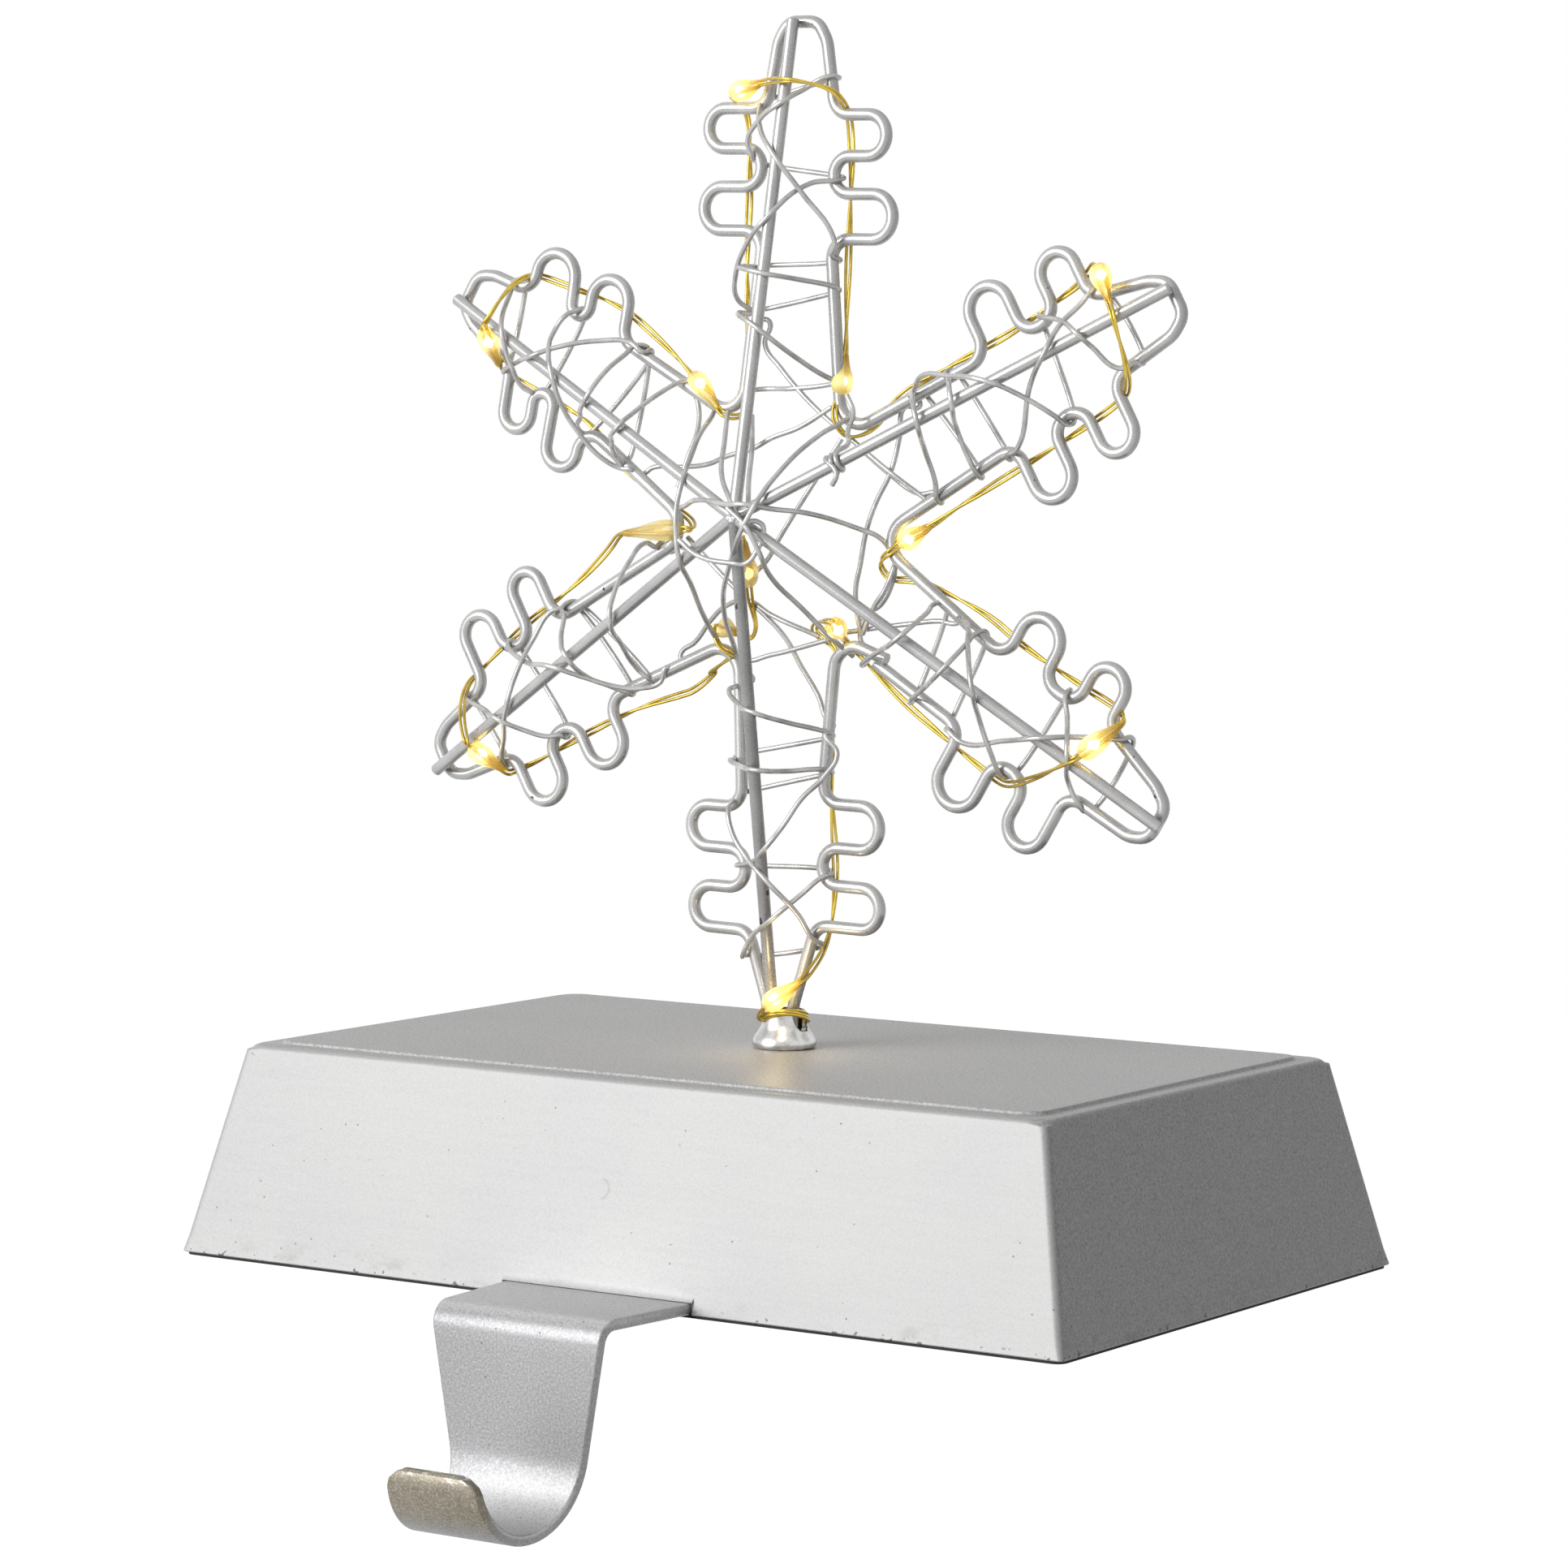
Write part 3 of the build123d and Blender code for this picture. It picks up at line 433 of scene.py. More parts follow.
    def brown_lip(self, coat: Coat) -> None:
        """Lay a brownish tone on the front of the lip, worn bright along its top."""
        _, depth, rise = coat.parts(coat.spot)
        cloud = coat.noise(coat.spot, 2.2, 4.0, 0.7)
        coat.lay(depth.step(-73.0, -77.6) * self.warm, coat.mix(cloud.step(0.3, 0.7), *self.marks.brown))
        rub_and_painted_light = coat.noise(coat.stretched(coat.spot, (0.35, 1.0, 1.0)), 0.7, 2.0).step(0.54, 0.62)
        edge = rise.step(-17.0, -16.4) * depth.step(-74.0, -75.5)
        coat.lay(rub_and_painted_light * edge * 0.6, self.marks.bare)


@dataclass(frozen=True)
class DrawnWire:
    """Bright drawn wire.

    Attributes:
        name: Material name.
        light: Colour of the bright stretches.
        dark: Colour of the dull stretches.
        metallic: Share of metal.
        rough: Roughness.
        coat: Weight of a lacquer.
    """

    name: str
    light: Colour
    dark: Colour
    metallic: float
    rough: float
    coat: float = 0.0

    def make(self) -> Material:
        """Build the wire's finish."""
        recipe = Recipe(self.name)
        place = recipe.place()
        dull = recipe.noise(place, 3.5, 3.0, 0.6)
        fine = recipe.noise(place, 0.25, 1.0)
        return recipe.dress(
            {
                "Base Color": recipe.mix(dull.step(0.38, 0.66), self.light, self.dark),
                "Roughness": self.rough + (dull - 0.5) * 0.25,
                "Metallic": self.metallic,
                "Normal": recipe.bump(fine, 0.15, 0.02),
                "Coat Weight": self.coat,
            }
        )


@dataclass(frozen=True)
class Moulding:
    """Moulded, rolled or cast stock with a fine grain.

    Attributes:
        name: Material name.
        colour: Main colour.
        marked: Colour of its marks.
        mark: Size of the marks in millimetres.
        metallic: Share of metal.
        rough: Roughness.
        depth: Depth of the grain in millimetres.
        stretch: How the marks are drawn out along the axes.
    """

    name: str
    colour: Colour
    marked: Colour
    mark: float
    metallic: float
    rough: float
    depth: float
    stretch: Point = (1.0, 1.0, 1.0)

    def make(self) -> Material:
        """Build the stock's finish."""
        recipe = Recipe(self.name)
        place = recipe.stretched(recipe.place(), self.stretch)
        marks = recipe.noise(place, self.mark, 4.0, 0.6)
        grain = recipe.noise(place, self.mark * 0.12, 2.0)
        return recipe.dress(
            {
                "Base Color": recipe.mix(marks.step(0.42, 0.68), self.colour, self.marked),
                "Roughness": self.rough + (grain - 0.5) * 0.2,
                "Metallic": self.metallic,
                "Normal": recipe.bump(grain, 0.3, self.depth),
            }
        )


@dataclass(frozen=True)
class GlowingDrop:
    """Clear resin drop round a lit chip.

    Attributes:
        name: Material name.
        chip: Light colour of the chip.
        hot: Light colour of the resin next to the chip.
        glow: Light colour of the resin further off.
        end: Light colour of the tapered end.
        unlit: Light colour of a lamp that is off.
        resin: Colour of the resin.
        taper: Colour of the resin at the tapered end.
        chip_rise: Where the chip sits along the drop, as a share of its length.
        strength: Strength of the light.
    """

    name: str
    chip: Colour = (1.0, 0.9, 0.62)
    hot: Colour = (0.055, 0.046, 0.02)
    glow: Colour = (0.018, 0.013, 0.0015)
    end: Colour = (0.012, 0.008, 0.0006)
    unlit: Colour = (0.006, 0.004, 0.001)
    resin: Colour = (1.0, 0.88, 0.42)
    taper: Colour = (0.85, 0.6, 0.09)
    chip_rise: float = 0.3
    strength: float = 9.0

    def make(self) -> Material:
        """Build the material from the drop's own map: along it, and round it.

        Returns:
            The lit resin.
        """
        recipe = Recipe(self.name)
        drop = recipe.node("ShaderNodeUVMap", {"uv_map": "drop"}).outputs[0]
        _, rise, _ = recipe.parts(drop)
        lit = Signal(recipe, recipe.node("ShaderNodeAttribute", {"attribute_name": "lit"}).outputs["Fac"])
        haze = recipe.noise(recipe.place(), 0.9, 2.0)
        away = (rise - self.chip_rise).size() + (haze - 0.5) * 0.1
        light = recipe.mix(away.step(0.05, 0.24), self.hot, self.glow)
        light = recipe.mix((rise + (haze - 0.5) * 0.15).step(0.45, 0.78), light, self.end)
        light = recipe.mix(rise.step(1.4, 1.6), light, self.chip)
        return recipe.dress(
            {
                "Base Color": recipe.mix(rise.step(0.55, 0.95), self.resin, self.taper),
                "Roughness": 0.12 + haze * 0.08,
                "Emission Color": recipe.mix(1.0 - lit, light, self.unlit),
                "Emission Strength": self.strength,
                "Transmission Weight": 0.5,
                "IOR": 1.42,
            }
        )


class GeoTree(Nodes):
    """A node tree that makes geometry, with named inputs."""

    def __init__(self, name: str, inputs: dict[str, str]) -> None:
        """Start a tree.

        Args:
            name: The tree's name.
            inputs: Socket type of each named input.
        """
        super().__init__(bpy.data.node_groups.new(name, "GeometryNodeTree"))
        face = self.tree.interface
        face.new_socket("Geometry", in_out="INPUT", socket_type="NodeSocketGeometry")
        self.ids: dict[str, str] = {}
        for label, kind in inputs.items():
            self.ids[label] = face.new_socket(label, in_out="INPUT", socket_type=kind).identifier
        face.new_socket("Geometry", in_out="OUTPUT", socket_type="NodeSocketGeometry")
        self.given = self.node("NodeGroupInput").outputs
        self.exit = self.node("NodeGroupOutput")

    def close(self, shape: Socket) -> None:
        """End the tree in smooth shading, real geometry and the material input."""
        smooth = self.node("GeometryNodeSetShadeSmooth", {}, {"Geometry": shape})
        real = self.node("GeometryNodeRealizeInstances", {}, {"Geometry": smooth.outputs[0]})
        sockets = {"Geometry": real.outputs[0], "Material": self.given["Material"]}
        self.feed(self.exit.inputs[0], self.node("GeometryNodeSetMaterial", {}, sockets).outputs[0])

    def run(self, source: Piece, name: str, values: dict[str, Any]) -> Piece:
        """Run the tree on a source and keep the result as a plain mesh.

        Args:
            source: The object to run it on, which is used up.
            name: Name of the new piece.
            values: Value of each named input.

        Returns:
            The piece.
        """
        modifier = source.modifiers.new(self.tree.name, "NODES")
        modifier.node_group = self.tree
        for label, value in values.items():
            modifier[self.ids[label]] = value
        graph = bpy.context.evaluated_depsgraph_get()
        mesh = bpy.data.meshes.new_from_object(source.evaluated_get(graph))
        source.modifiers.clear()
        bpy.data.objects.remove(source)
        mesh.name = name
        return put(mesh)


def put(data: bpy.types.ID) -> Piece:
    """Link a new object for a mesh, a curve, a camera or a light, named after it."""
    piece = bpy.data.objects.new(data.name, data)
    bpy.context.scene.collection.objects.link(piece)
    return piece


def tube_tree(name: str, bent: bool) -> GeoTree:
    """Build the tree that turns a path into round wire.

    Args:
        name: The tree's name.
        bent: Whether each corner of the path is bent to the radius that its point carries.

    Returns:
        The tree.
    """
    kinds = {"Diameter": "NodeSocketFloat", "Sides": "NodeSocketInt", "Step": "NodeSocketFloat"}
    tree = GeoTree(name, {**kinds, "Material": "NodeSocketMaterial"})
    path = tree.given["Geometry"]
    radius = tree.node("GeometryNodeInputRadius").outputs[0]
    if bent:
        sockets = {"Curve": path, "Count": BEND_POINTS, "Radius": radius, "Limit Radius": True}
        path = tree.node("GeometryNodeFilletCurve", {"mode": "POLY"}, sockets).outputs[0]
        path = tree.node("GeometryNodeSetCurveRadius", {}, {"Curve": path, "Radius": 1.0}).outputs[0]
    sockets = {"Curve": path, "Length": tree.given["Step"]}
    even = tree.node("GeometryNodeResampleCurve", {"mode": "LENGTH"}, sockets)
    half = tree.node("ShaderNodeMath", {"operation": "MULTIPLY"}, {0: tree.given["Diameter"], 1: 0.5})
    sockets = {"Radius": half.outputs[0], "Resolution": tree.given["Sides"]}
    section = tree.node("GeometryNodeCurvePrimitiveCircle", {"mode": "RADIUS"}, sockets)
    sockets = {"Curve": even.outputs[0], "Profile Curve": section.outputs[0], "Scale": radius}
    tube = tree.node("GeometryNodeCurveToMesh", {}, {**sockets, "Fill Caps": True})
    tree.close(tube.outputs[0])
    return tree


def path_curve(
    name: str, lay: Lay, strands: Iterable[Sequence[Vector]], radii: Sequence[float] = ()
) -> Piece:
    """Lay one or more strands as a curve.

    Args:
        name: Name of the curve.
        lay: How it is laid through its points.
        strands: Points of each strand, in metres.
        radii: Radius that each point of the strand carries, 1 if left out.

    Returns:
        The curve's object.
    """
    curve = bpy.data.curves.new(name, "CURVE")
    curve.dimensions = "3D"
    curve.resolution_u = CURVE_POINTS
    handled = lay is Lay.THROUGH
    for strand in strands:
        spline = curve.splines.new(lay.value)
        points = spline.bezier_points if handled else spline.points
        points.add(len(strand) - 1)
        for index, (point, place) in enumerate(zip(points, strand)):
            point.co = place if handled else (*place, 1.0)
            point.radius = radii[index] if radii else 1.0
            if handled:
                point.handle_left_type = point.handle_right_type = "AUTO"
        if lay is Lay.NEAR:
            spline.order_u = 3
            spline.use_endpoint_u = True
    return put(curve)


def along(source: Piece) -> list[Vector]:
    """Points read from a curve's own line, in order. The curve is used up."""
    graph = bpy.context.evaluated_depsgraph_get()
    mesh = bpy.data.meshes.new_from_object(source.evaluated_get(graph))
    points = [vertex.co.copy() for vertex in mesh.vertices]
    bpy.data.objects.remove(source)
    bpy.data.meshes.remove(mesh)
    return points


def settle(piece: Piece, slot: str, *nodes: str) -> None:
    """Let a finished piece ride on the holder, in place of the nodes that it stands for."""
    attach(piece, HOLDER)
    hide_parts(*nodes)
    LOG.info("%s stands for %s", piece.name, ", ".join(nodes))


def arc(start: float, sweep: float, steps: int) -> list[tuple[float, float]]:
    """Cosine and sine of even steps along an arc, with both ends. Start and sweep are in degrees."""
    turns = [math.radians(start + sweep * step / steps) for step in range(steps + 1)]
    return [(math.cos(turn), math.sin(turn)) for turn in turns]


def skin(name: str, rings: Sequence[Sequence[Vector]], closed_ends: bool, material: Material) -> Piece:
    """Join rings of points into one closed skin.

    Args:
        name: Name of the piece.
        rings: Rings with the same number of points, in metres.
        closed_ends: Whether the first and last rings are capped. Otherwise the last ring joins the first.
        material: Its finish.

    Returns:
        The piece.
    """
    mesh = bpy.data.meshes.new(name)
    work = bmesh.new()
    rows = [[work.verts.new(point) for point in ring] for ring in rings]
    if not closed_ends:
        rows.append(rows[0])
    for low, high in zip(rows, rows[1:]):
        for index in range(len(low)):
            after = (index + 1) % len(low)
            work.faces.new((low[index], low[after], high[after], high[index]))
    if closed_ends:
        work.faces.new(rows[0])
        work.faces.new(rows[-1])
    bmesh.ops.recalc_face_normals(work, faces=work.faces)
    for face in work.faces:
        face.smooth = True
    work.to_mesh(mesh)
    work.free()
    mesh.set_sharp_from_angle(angle=math.radians(SHARP_EDGE))
    mesh.materials.append(material)
    return put(mesh)


@dataclass(frozen=True)
class Gauge:
    """Round wire of one kind. Sizes in millimetres.

    Attributes:
        diameter: Its diameter.
        sides: Number of flats round it.
        step: Length of each stretch along it.
    """

    diameter: float
    sides: int
    step: float

    def values(self, finish: Material) -> dict[str, Any]:
        """Values for a tube tree, with lengths in metres."""
        sizes = {"Diameter": self.diameter * MM, "Sides": self.sides, "Step": self.step * MM}
        return {**sizes, "Material": finish}


@dataclass(frozen=True)
class Base:
    """Pressed sheet base with a raised panel. Sizes in millimetres.

    Attributes:
        length: Length at the bottom.
        depth: Depth at the bottom.
        low: Height of the bottom edge.
        height: Height of the shoulder.
        draw_in: How far each wall leans in.
        sheet: Sheet thickness.
        shoulder: Outer radius of the shoulder.
        corner: Radius of the upright corners.
        corner_spare: How far past a corner the flat wall's next point lies.
        levels: Heights of the wall's points.
        panel_margin: Flat rim between shoulder line and panel.
        panel_rise: Rise of the panel.
        panel_corner: Corner radius of the panel.
        foot_hole: Radius of the hole for the foot.
        flat_round_foot: Radius of the flat round the foot.
        strap_gap: Half width of the notch for the hook.
        strap_top: Height of the notch.
        notch_side: How much wider the notch is at its bottom.
    """

    length: float = 140.0
    depth: float = 87.0
    low: float = 0.4
    height: float = 28.75
    draw_in: float = 6.3
    sheet: float = 1.0
    shoulder: float = 0.9
    corner: float = 0.7
    corner_spare: float = 0.4
    levels: tuple[float, ...] = (2.6, 3.2, 9.0, 15.0, 21.0)
    panel_margin: float = 2.8
    panel_rise: float = 0.45
    panel_corner: float = 3.0
    foot_hole: float = 3.1
    flat_round_foot: float = 14.0
    strap_gap: float = 15.1
    strap_top: float = 2.0
    notch_side: float = 0.02

    def ring(self, inset: float, rise: float, corner: float, notch: bool = False) -> list[Vector]:
        """One level rounded rectangle.

        Args:
            inset: How far it lies inside the bottom outline.
            rise: Its height.
            corner: Its corner radius.
            notch: Whether its front stretch lifts over the hook.

        Returns:
            Points in metres, from the right end of the front.
        """
        half_x = self.length / 2 - inset
        half_y = self.depth / 2 - inset
        end_x = half_x - corner - self.corner_spare
        end_y = half_y - corner - self.corner_spare
        gap = self.strap_gap
        right_front = (end_x, 40.0, gap + self.notch_side, gap, 5.0)
        points = []
        for across in (*right_front, *(-place for place in reversed(right_front))):
            lift = self.strap_top if notch and abs(across) <= gap else rise
            points.append(Vector((across, -half_y, lift)))
        left = [(-half_x, depth) for depth in (-end_y, 0, end_y)]
        back = [(across, half_y) for across in (-end_x, 0, end_x)]
        right = [(half_x, depth) for depth in (end_y, 0, -end_y)]
        corners = ((-1, -1, 270.0, left), (-1, 1, 180.0, back), (1, 1, 90.0, right), (1, -1, 0.0, []))
        for side_x, side_y, start, wall in corners:
            middle = Vector((side_x * (half_x - corner), side_y * (half_y - corner), rise))
            points.extend(middle + Vector((*turn, 0)) * corner for turn in arc(start, -90.0, 6))
            points.extend(Vector((across, depth, rise)) for across, depth in wall)
        return [point * MM for point in points]

    def hole(self, rise: float, radius: float) -> list[Vector]:
        """The foot's hole in metres, as a ring with as many points as the others."""
        around = []
        for point in self.ring(0.0, rise, self.corner):
            flat = Vector((point.x, point.y, 0)).normalized() * radius * MM
            around.append(Vector((flat.x, flat.y, rise * MM)))
        return around

    def rings(self) -> list[list[Vector]]:
        """All rings, up the outside, in to the hole and back down the inside.

        Returns:
            Rings in metres.
        """
        edge = self.draw_in + self.panel_margin
        panel = self.height + self.panel_rise
        under_panel = panel - self.sheet
        under_rim = self.height - self.sheet
        inner_edge = edge + self.sheet
        inner_wall = self.draw_in + self.sheet
        return [
            self.ring(0.12, self.low, self.corner, True),
            self.ring(0.0, self.low + 0.15, self.corner, True),
            *self.wall_rings(),
            *self.panel_rings(edge),
            self.ring(edge + 0.25, panel, self.panel_corner - 0.3),
            self.ring(edge + 0.5, panel, self.panel_corner - 0.6),
            self.hole(panel, self.flat_round_foot),
            self.hole(panel, self.foot_hole),
            self.hole(under_panel, self.foot_hole),
            self.ring(inner_edge, under_panel, self.panel_corner),
            self.ring(inner_edge - 0.2, under_rim, self.panel_corner),
            self.ring(inner_wall + 0.4, under_rim, self.corner),
            self.ring(inner_wall - 0.4, under_rim - 1.2, self.corner),
            self.ring(self.sheet + 0.1, self.low, self.corner, True),
        ]

    def wall_rings(self) -> list[list[Vector]]:
        """Rings up the leaning wall and round the shoulder.

        Returns:
            Rings in metres.
        """
        lean = self.draw_in / (self.height - self.low)
        tilt = math.atan(lean)
        sweep = math.pi / 2 - tilt
        bend = self.shoulder
        wall_end = self.height - bend * math.tan(sweep / 2) * math.cos(tilt)
        rings = []
        for rise in (*self.levels, wall_end - 0.5, wall_end):
            rings.append(self.ring(lean * (rise - self.low), rise, self.corner + 0.3))
        middle_inset = lean * (wall_end - self.low) + bend * math.cos(tilt)
        for out, up in arc(math.degrees(tilt), math.degrees(sweep), 6)[1:]:
            inset = middle_inset - bend * out
            rings.append(self.ring(inset, self.height - bend + bend * up, self.corner + inset * 0.3))
        return rings

    def panel_rings(self, edge: float) -> list[list[Vector]]:
        """Rings in metres up the panel's step, whose edge lies that far inside the bottom outline."""
        rings = [self.ring(edge - 0.25, self.height, self.panel_corner + 0.4)]
        for share in range(1, 5):
            rise = self.height + self.panel_rise * (1 - math.cos(math.pi * share / 5)) / 2
            rings.append(self.ring(edge - 0.2 + 0.4 * share / 5, rise, self.panel_corner + 0.3 - 0.1 * share))
        return rings

    def build(self, finish: Material) -> None:
        """Build and settle the shell."""
        settle(skin("pressed_base", self.rings(), False, finish), "silver_paint", "base_shell")


@dataclass(frozen=True)
class Hook:
    """Tapered strap bent into a hook. Sizes in millimetres.

    Attributes:
        strap: Strap thickness.
        tail: Where the leg ends under the base.
        wall: Where the leg leaves the base.
        front: Front face of the upright.
        top: Height of the leg's top.
        bend: Inner radius of the bend.
        curl: Inner radius of the curl.
        curl_height: Height of the curl's middle.
        lip_rise: Straight length after the curl.
        lip_corner: Corner radius of the lip.
        lip_round: How far the lip's rounded end stands out, and how much narrower and thinner it is.
        edge: Rounding of the strap's edges.
        widths: Widths at the wall, the bend, the lowest point and the lip.
    """

    strap: float = 1.5
    tail: float = -22.0
    wall: float = -43.5
    front: float = -60.9
    top: float = 1.9
    bend: float = 1.6
    curl: float = 8.0
    curl_height: float = -16.1
    lip_rise: float = 0.1
    lip_corner: float = 2.2
    lip_round: Point = (0.25, 0.3, 0.5)
    edge: float = 0.32
    widths: tuple[float, float, float, float] = (29.6, 26.3, 16.4, 13.8)

    def curl_place(self) -> Point:
        """Depth, height and inner radius of the curl."""
        return self.front - self.curl, self.curl_height, self.curl

    def line(self) -> list[tuple[Vector, Vector]]:
        """Middle line of the strap.

        Returns:
            Points with their outward normals, y and z in millimetres.
        """
        half = self.strap / 2
        leg = (self.tail, -30.0, self.wall, -50.0, -55.0)
        line = [(Vector((0, depth, self.top - half)), Vector((0, 0, 1))) for depth in leg]
        middle = Vector((0, self.front + self.strap + self.bend, self.top - self.strap - self.bend))
        for out in (Vector((0, *pair)) for pair in arc(90, 90, 10)):
            line.append((middle + out * (self.bend + half), out))
        drop = self.curl_height - middle.z
        for share in range(1, 8):
            line.append((Vector((0, self.front + half, middle.z + drop * share / 8)), Vector((0, -1, 0))))
        middle = Vector((0, self.front - self.curl, self.curl_height))
        for out in (Vector((0, *pair)) for pair in arc(0, -180, 28)):
            line.append((middle + out * (self.curl + half), -out))
        last = line[-1][0]
        for share in (0.4, 0.8, 1.0):
            line.append((last + Vector((0, 0, self.lip_rise * share)), Vector((0, 1, 0))))
        return line

    def width(self, run: float, marks: Sequence[float]) -> float:
        """Width of the strap at a distance along it.

        Args:
            run: Distance along the strap.
            marks: Distances of the wall, the bend, the lowest point and the lip.

        Returns:
            The width in millimetres.
        """
        if run <= marks[0]:
            width = self.widths[0]
        else:
            number = min(sum(run > mark for mark in marks), 3)
            low, high = marks[number - 1], marks[number]
            share = min((run - low) / (high - low), 1.0)
            width = self.widths[number - 1] + (self.widths[number] - self.widths[number - 1]) * share
        corner = self.lip_corner
        left = marks[3] - run
        if left < corner:
            width -= 2 * (corner - math.sqrt(max(corner**2 - (corner - left) ** 2, 0)))
        return width

    def section(self, place: Vector, out: Vector, width: float, thick: float) -> list[Vector]:
        """One cross-section with rounded edges.

        Args:
            place: Its middle.
            out: Normal of the strap.
            width: Its width.
            thick: Its thickness.

        Returns:
            Points in metres.
        """
        edge = min(self.edge, thick * 0.45)
        points = []
        for side_x, side_n, start in ((1, 1, 90), (1, -1, 0), (-1, -1, -90), (-1, 1, -180)):
            for beside, above in arc(start, -90, 4):
                across = side_x * (width / 2 - edge) + beside * edge
                lift = side_n * (thick / 2 - edge) + above * edge
                points.append((place + Vector((across, 0, 0)) + out * lift) * MM)
        return points

    def build(self, finish: Material) -> None:
        """Build and settle the strap.

        Args:
            finish: Its paint.
        """
        line = self.line()
        runs = [0.0]
        for (one, _), (two, _) in zip(line, line[1:]):
            runs.append(runs[-1] + (two - one).length)
        bend_low = self.top - self.strap - self.bend + 0.01
        bend_end = next(run for run, (place, _) in zip(runs, line) if place.z < bend_low)
        lowest = min(range(len(line)), key=lambda index: line[index][0].z)
        marks = (self.tail - self.wall, bend_end, runs[lowest], runs[-1])
        rings = []
        for (place, out), run in zip(line, runs):
            rings.append(self.section(place, out, self.width(run, marks), self.strap))
        place, out = line[-1]
        stand, narrower, thinner = self.lip_round
        end_width = self.width(runs[-1], marks) - narrower
        rings.append(self.section(place + Vector((0, 0, stand)), out, end_width, self.strap - thinner))
        settle(skin("strap_hook", rings, True, finish), "hook_paint", "hook")


@dataclass(frozen=True)
class Ferrule:
    """Small bright bell over the foot. Sizes in millimetres.

    Attributes:
        base: Height of its rim.
        profile: Radius at each height above the rim.
        wall: Its thickness.
        sides: Number of points round it.
        slot_turn: Direction of its slot, in degrees from the right.
        slot_half: Half width of the slot, in degrees.
        slot_low: Height at which the slot starts.
    """

    base: float = 29.2
    profile: Profile = (
        (0.0, 3.9), (0.1, 4.12), (0.28, 4.29), (0.55, 4.37), (0.9, 4.35), (1.3, 4.23), (1.7, 4.01),
        (2.1, 3.72), (2.5, 3.43), (2.9, 3.2), (3.4, 3.03), (4.0, 2.94), (4.7, 2.89), (5.1, 2.88), (5.25, 2.8),
    )
    wall: float = 0.34
    sides: int = 72
    slot_turn: float = 2.0
    slot_half: float = 38.0
    slot_low: float = 2.4

    def build(self, finish: Material) -> None:
        """Build and settle the bell.

        Args:
            finish: Its plating.
        """
        height = self.profile[-1][0]
        outside = [(self.base + rise, radius) for rise, radius in self.profile]
        inside = [(rise, radius - self.wall) for rise, radius in reversed(outside)]
        rings = []
        for rise, radius in (*outside, *inside):
            ring = []
            for step in range(self.sides):
                angle = 360 * step / self.sides
                away = (angle - self.slot_turn + 180) % 360 - 180
                depth = max(1 - (away / self.slot_half) ** 2, 0) ** 0.5
                limit = self.base + height - depth * (height - self.slot_low)
                turn = math.radians(angle)
                ring.append(Vector((math.cos(turn) * radius, math.sin(turn) * radius, min(rise, limit))) * MM)
            rings.append(ring)
        settle(skin("foot_bell", rings, False, finish), "bright_plate", "ferrule")


@dataclass(frozen=True)
class Flank:
    """One side of an arm: where its two lobes start and end, how far they reach, and its waist.

    Attributes:
        side: Half width below the lobes.
        near: Start, end and reach of the lobe next to the middle.
        waist: Half width between the lobes.
        far: Start, end and reach of the outer lobe.
        lean: How far the outer ends of the lobes lean outwards along the arm.
    """

    side: float
    near: Point
    waist: float
    far: Point
    lean: float = 0.0


@dataclass(frozen=True)
class Winding:
    """Binding of one arm. Points are across it, along it and behind the outline, where the eye sees them.

    Attributes:
        start: How the wire comes to its first turn.
        turns: Station of each turn on the right, its way over the spoke, and its station on the left.
        end: How it goes back behind the arm.
        tails: Loose lengths between the arm's root and the hub, in the upright frame.
    """

    start: Trace
    turns: tuple[tuple[float, Trace, float], ...]
    end: Trace
    tails: tuple[Trace, ...] = ()


@dataclass(frozen=True)
class Lamp:
    """One lamp on its stretch of the string.

    Attributes:
        start: Where it starts.
        end: Where it ends.
        blunt_last: Whether its blunt end comes last.
        lit: How bright it is.
    """

    start: Point
    end: Point
    blunt_last: bool = False
    lit: float = 1.0


@dataclass(frozen=True)
class StringRun:
    """Light string on one arm, in the order in which it is laid, as the eye sees it.

    Attributes:
        enter: How it comes round the crotch.
        root: Lamp at the arm's root.
        out: Up the right side and over the spoke.
        crown: Lamp near the tip.
        back: Down the left side.
    """

    enter: Trace
    root: Lamp
    out: Trace
    crown: Lamp
    back: Trace


@dataclass(frozen=True)
class Arm:
    """One arm of the snowflake.

    Attributes:
        angle: Clockwise angle of the frame in which it was measured, in degrees.
        tip: Across and station of its tip.
        left: Its left flank.
        right: Its right flank.
        spoke: Across and station of its spoke's outer end.
        winding: Its binding.
        string: Its light string. The foot's is laid apart.
        taper: Half widths that the binding meets above the lobes and at the tip.
    """

    angle: float
    tip: tuple[float, float]
    left: Flank
    right: Flank
    spoke: tuple[float, float]
    winding: Winding
    string: StringRun | None = None
    taper: tuple[float, float] = (5.4, 2.9)

    def flank(self, side: Side) -> Flank:
        """The flank on one side."""
        return self.left if side is Side.LEFT else self.right

    def half_width(self, side: Side, station: float) -> float:
        """Distance of the outline's wire from the arm's middle, clear of the lobes.

        Args:
            side: Which side.
            station: Distance from the snowflake's middle.

        Returns:
            The distance in millimetres.
        """
        flank = self.flank(side)
        if station < (flank.near[0] + flank.near[1]) / 2:
            return flank.side
        if station < (flank.far[0] + flank.far[1]) / 2:
            return flank.waist
        share = (station - flank.far[1]) / (self.tip[1] - flank.far[1])
        wide, narrow = self.taper
        return wide + (narrow - wide) * max(share, 0)


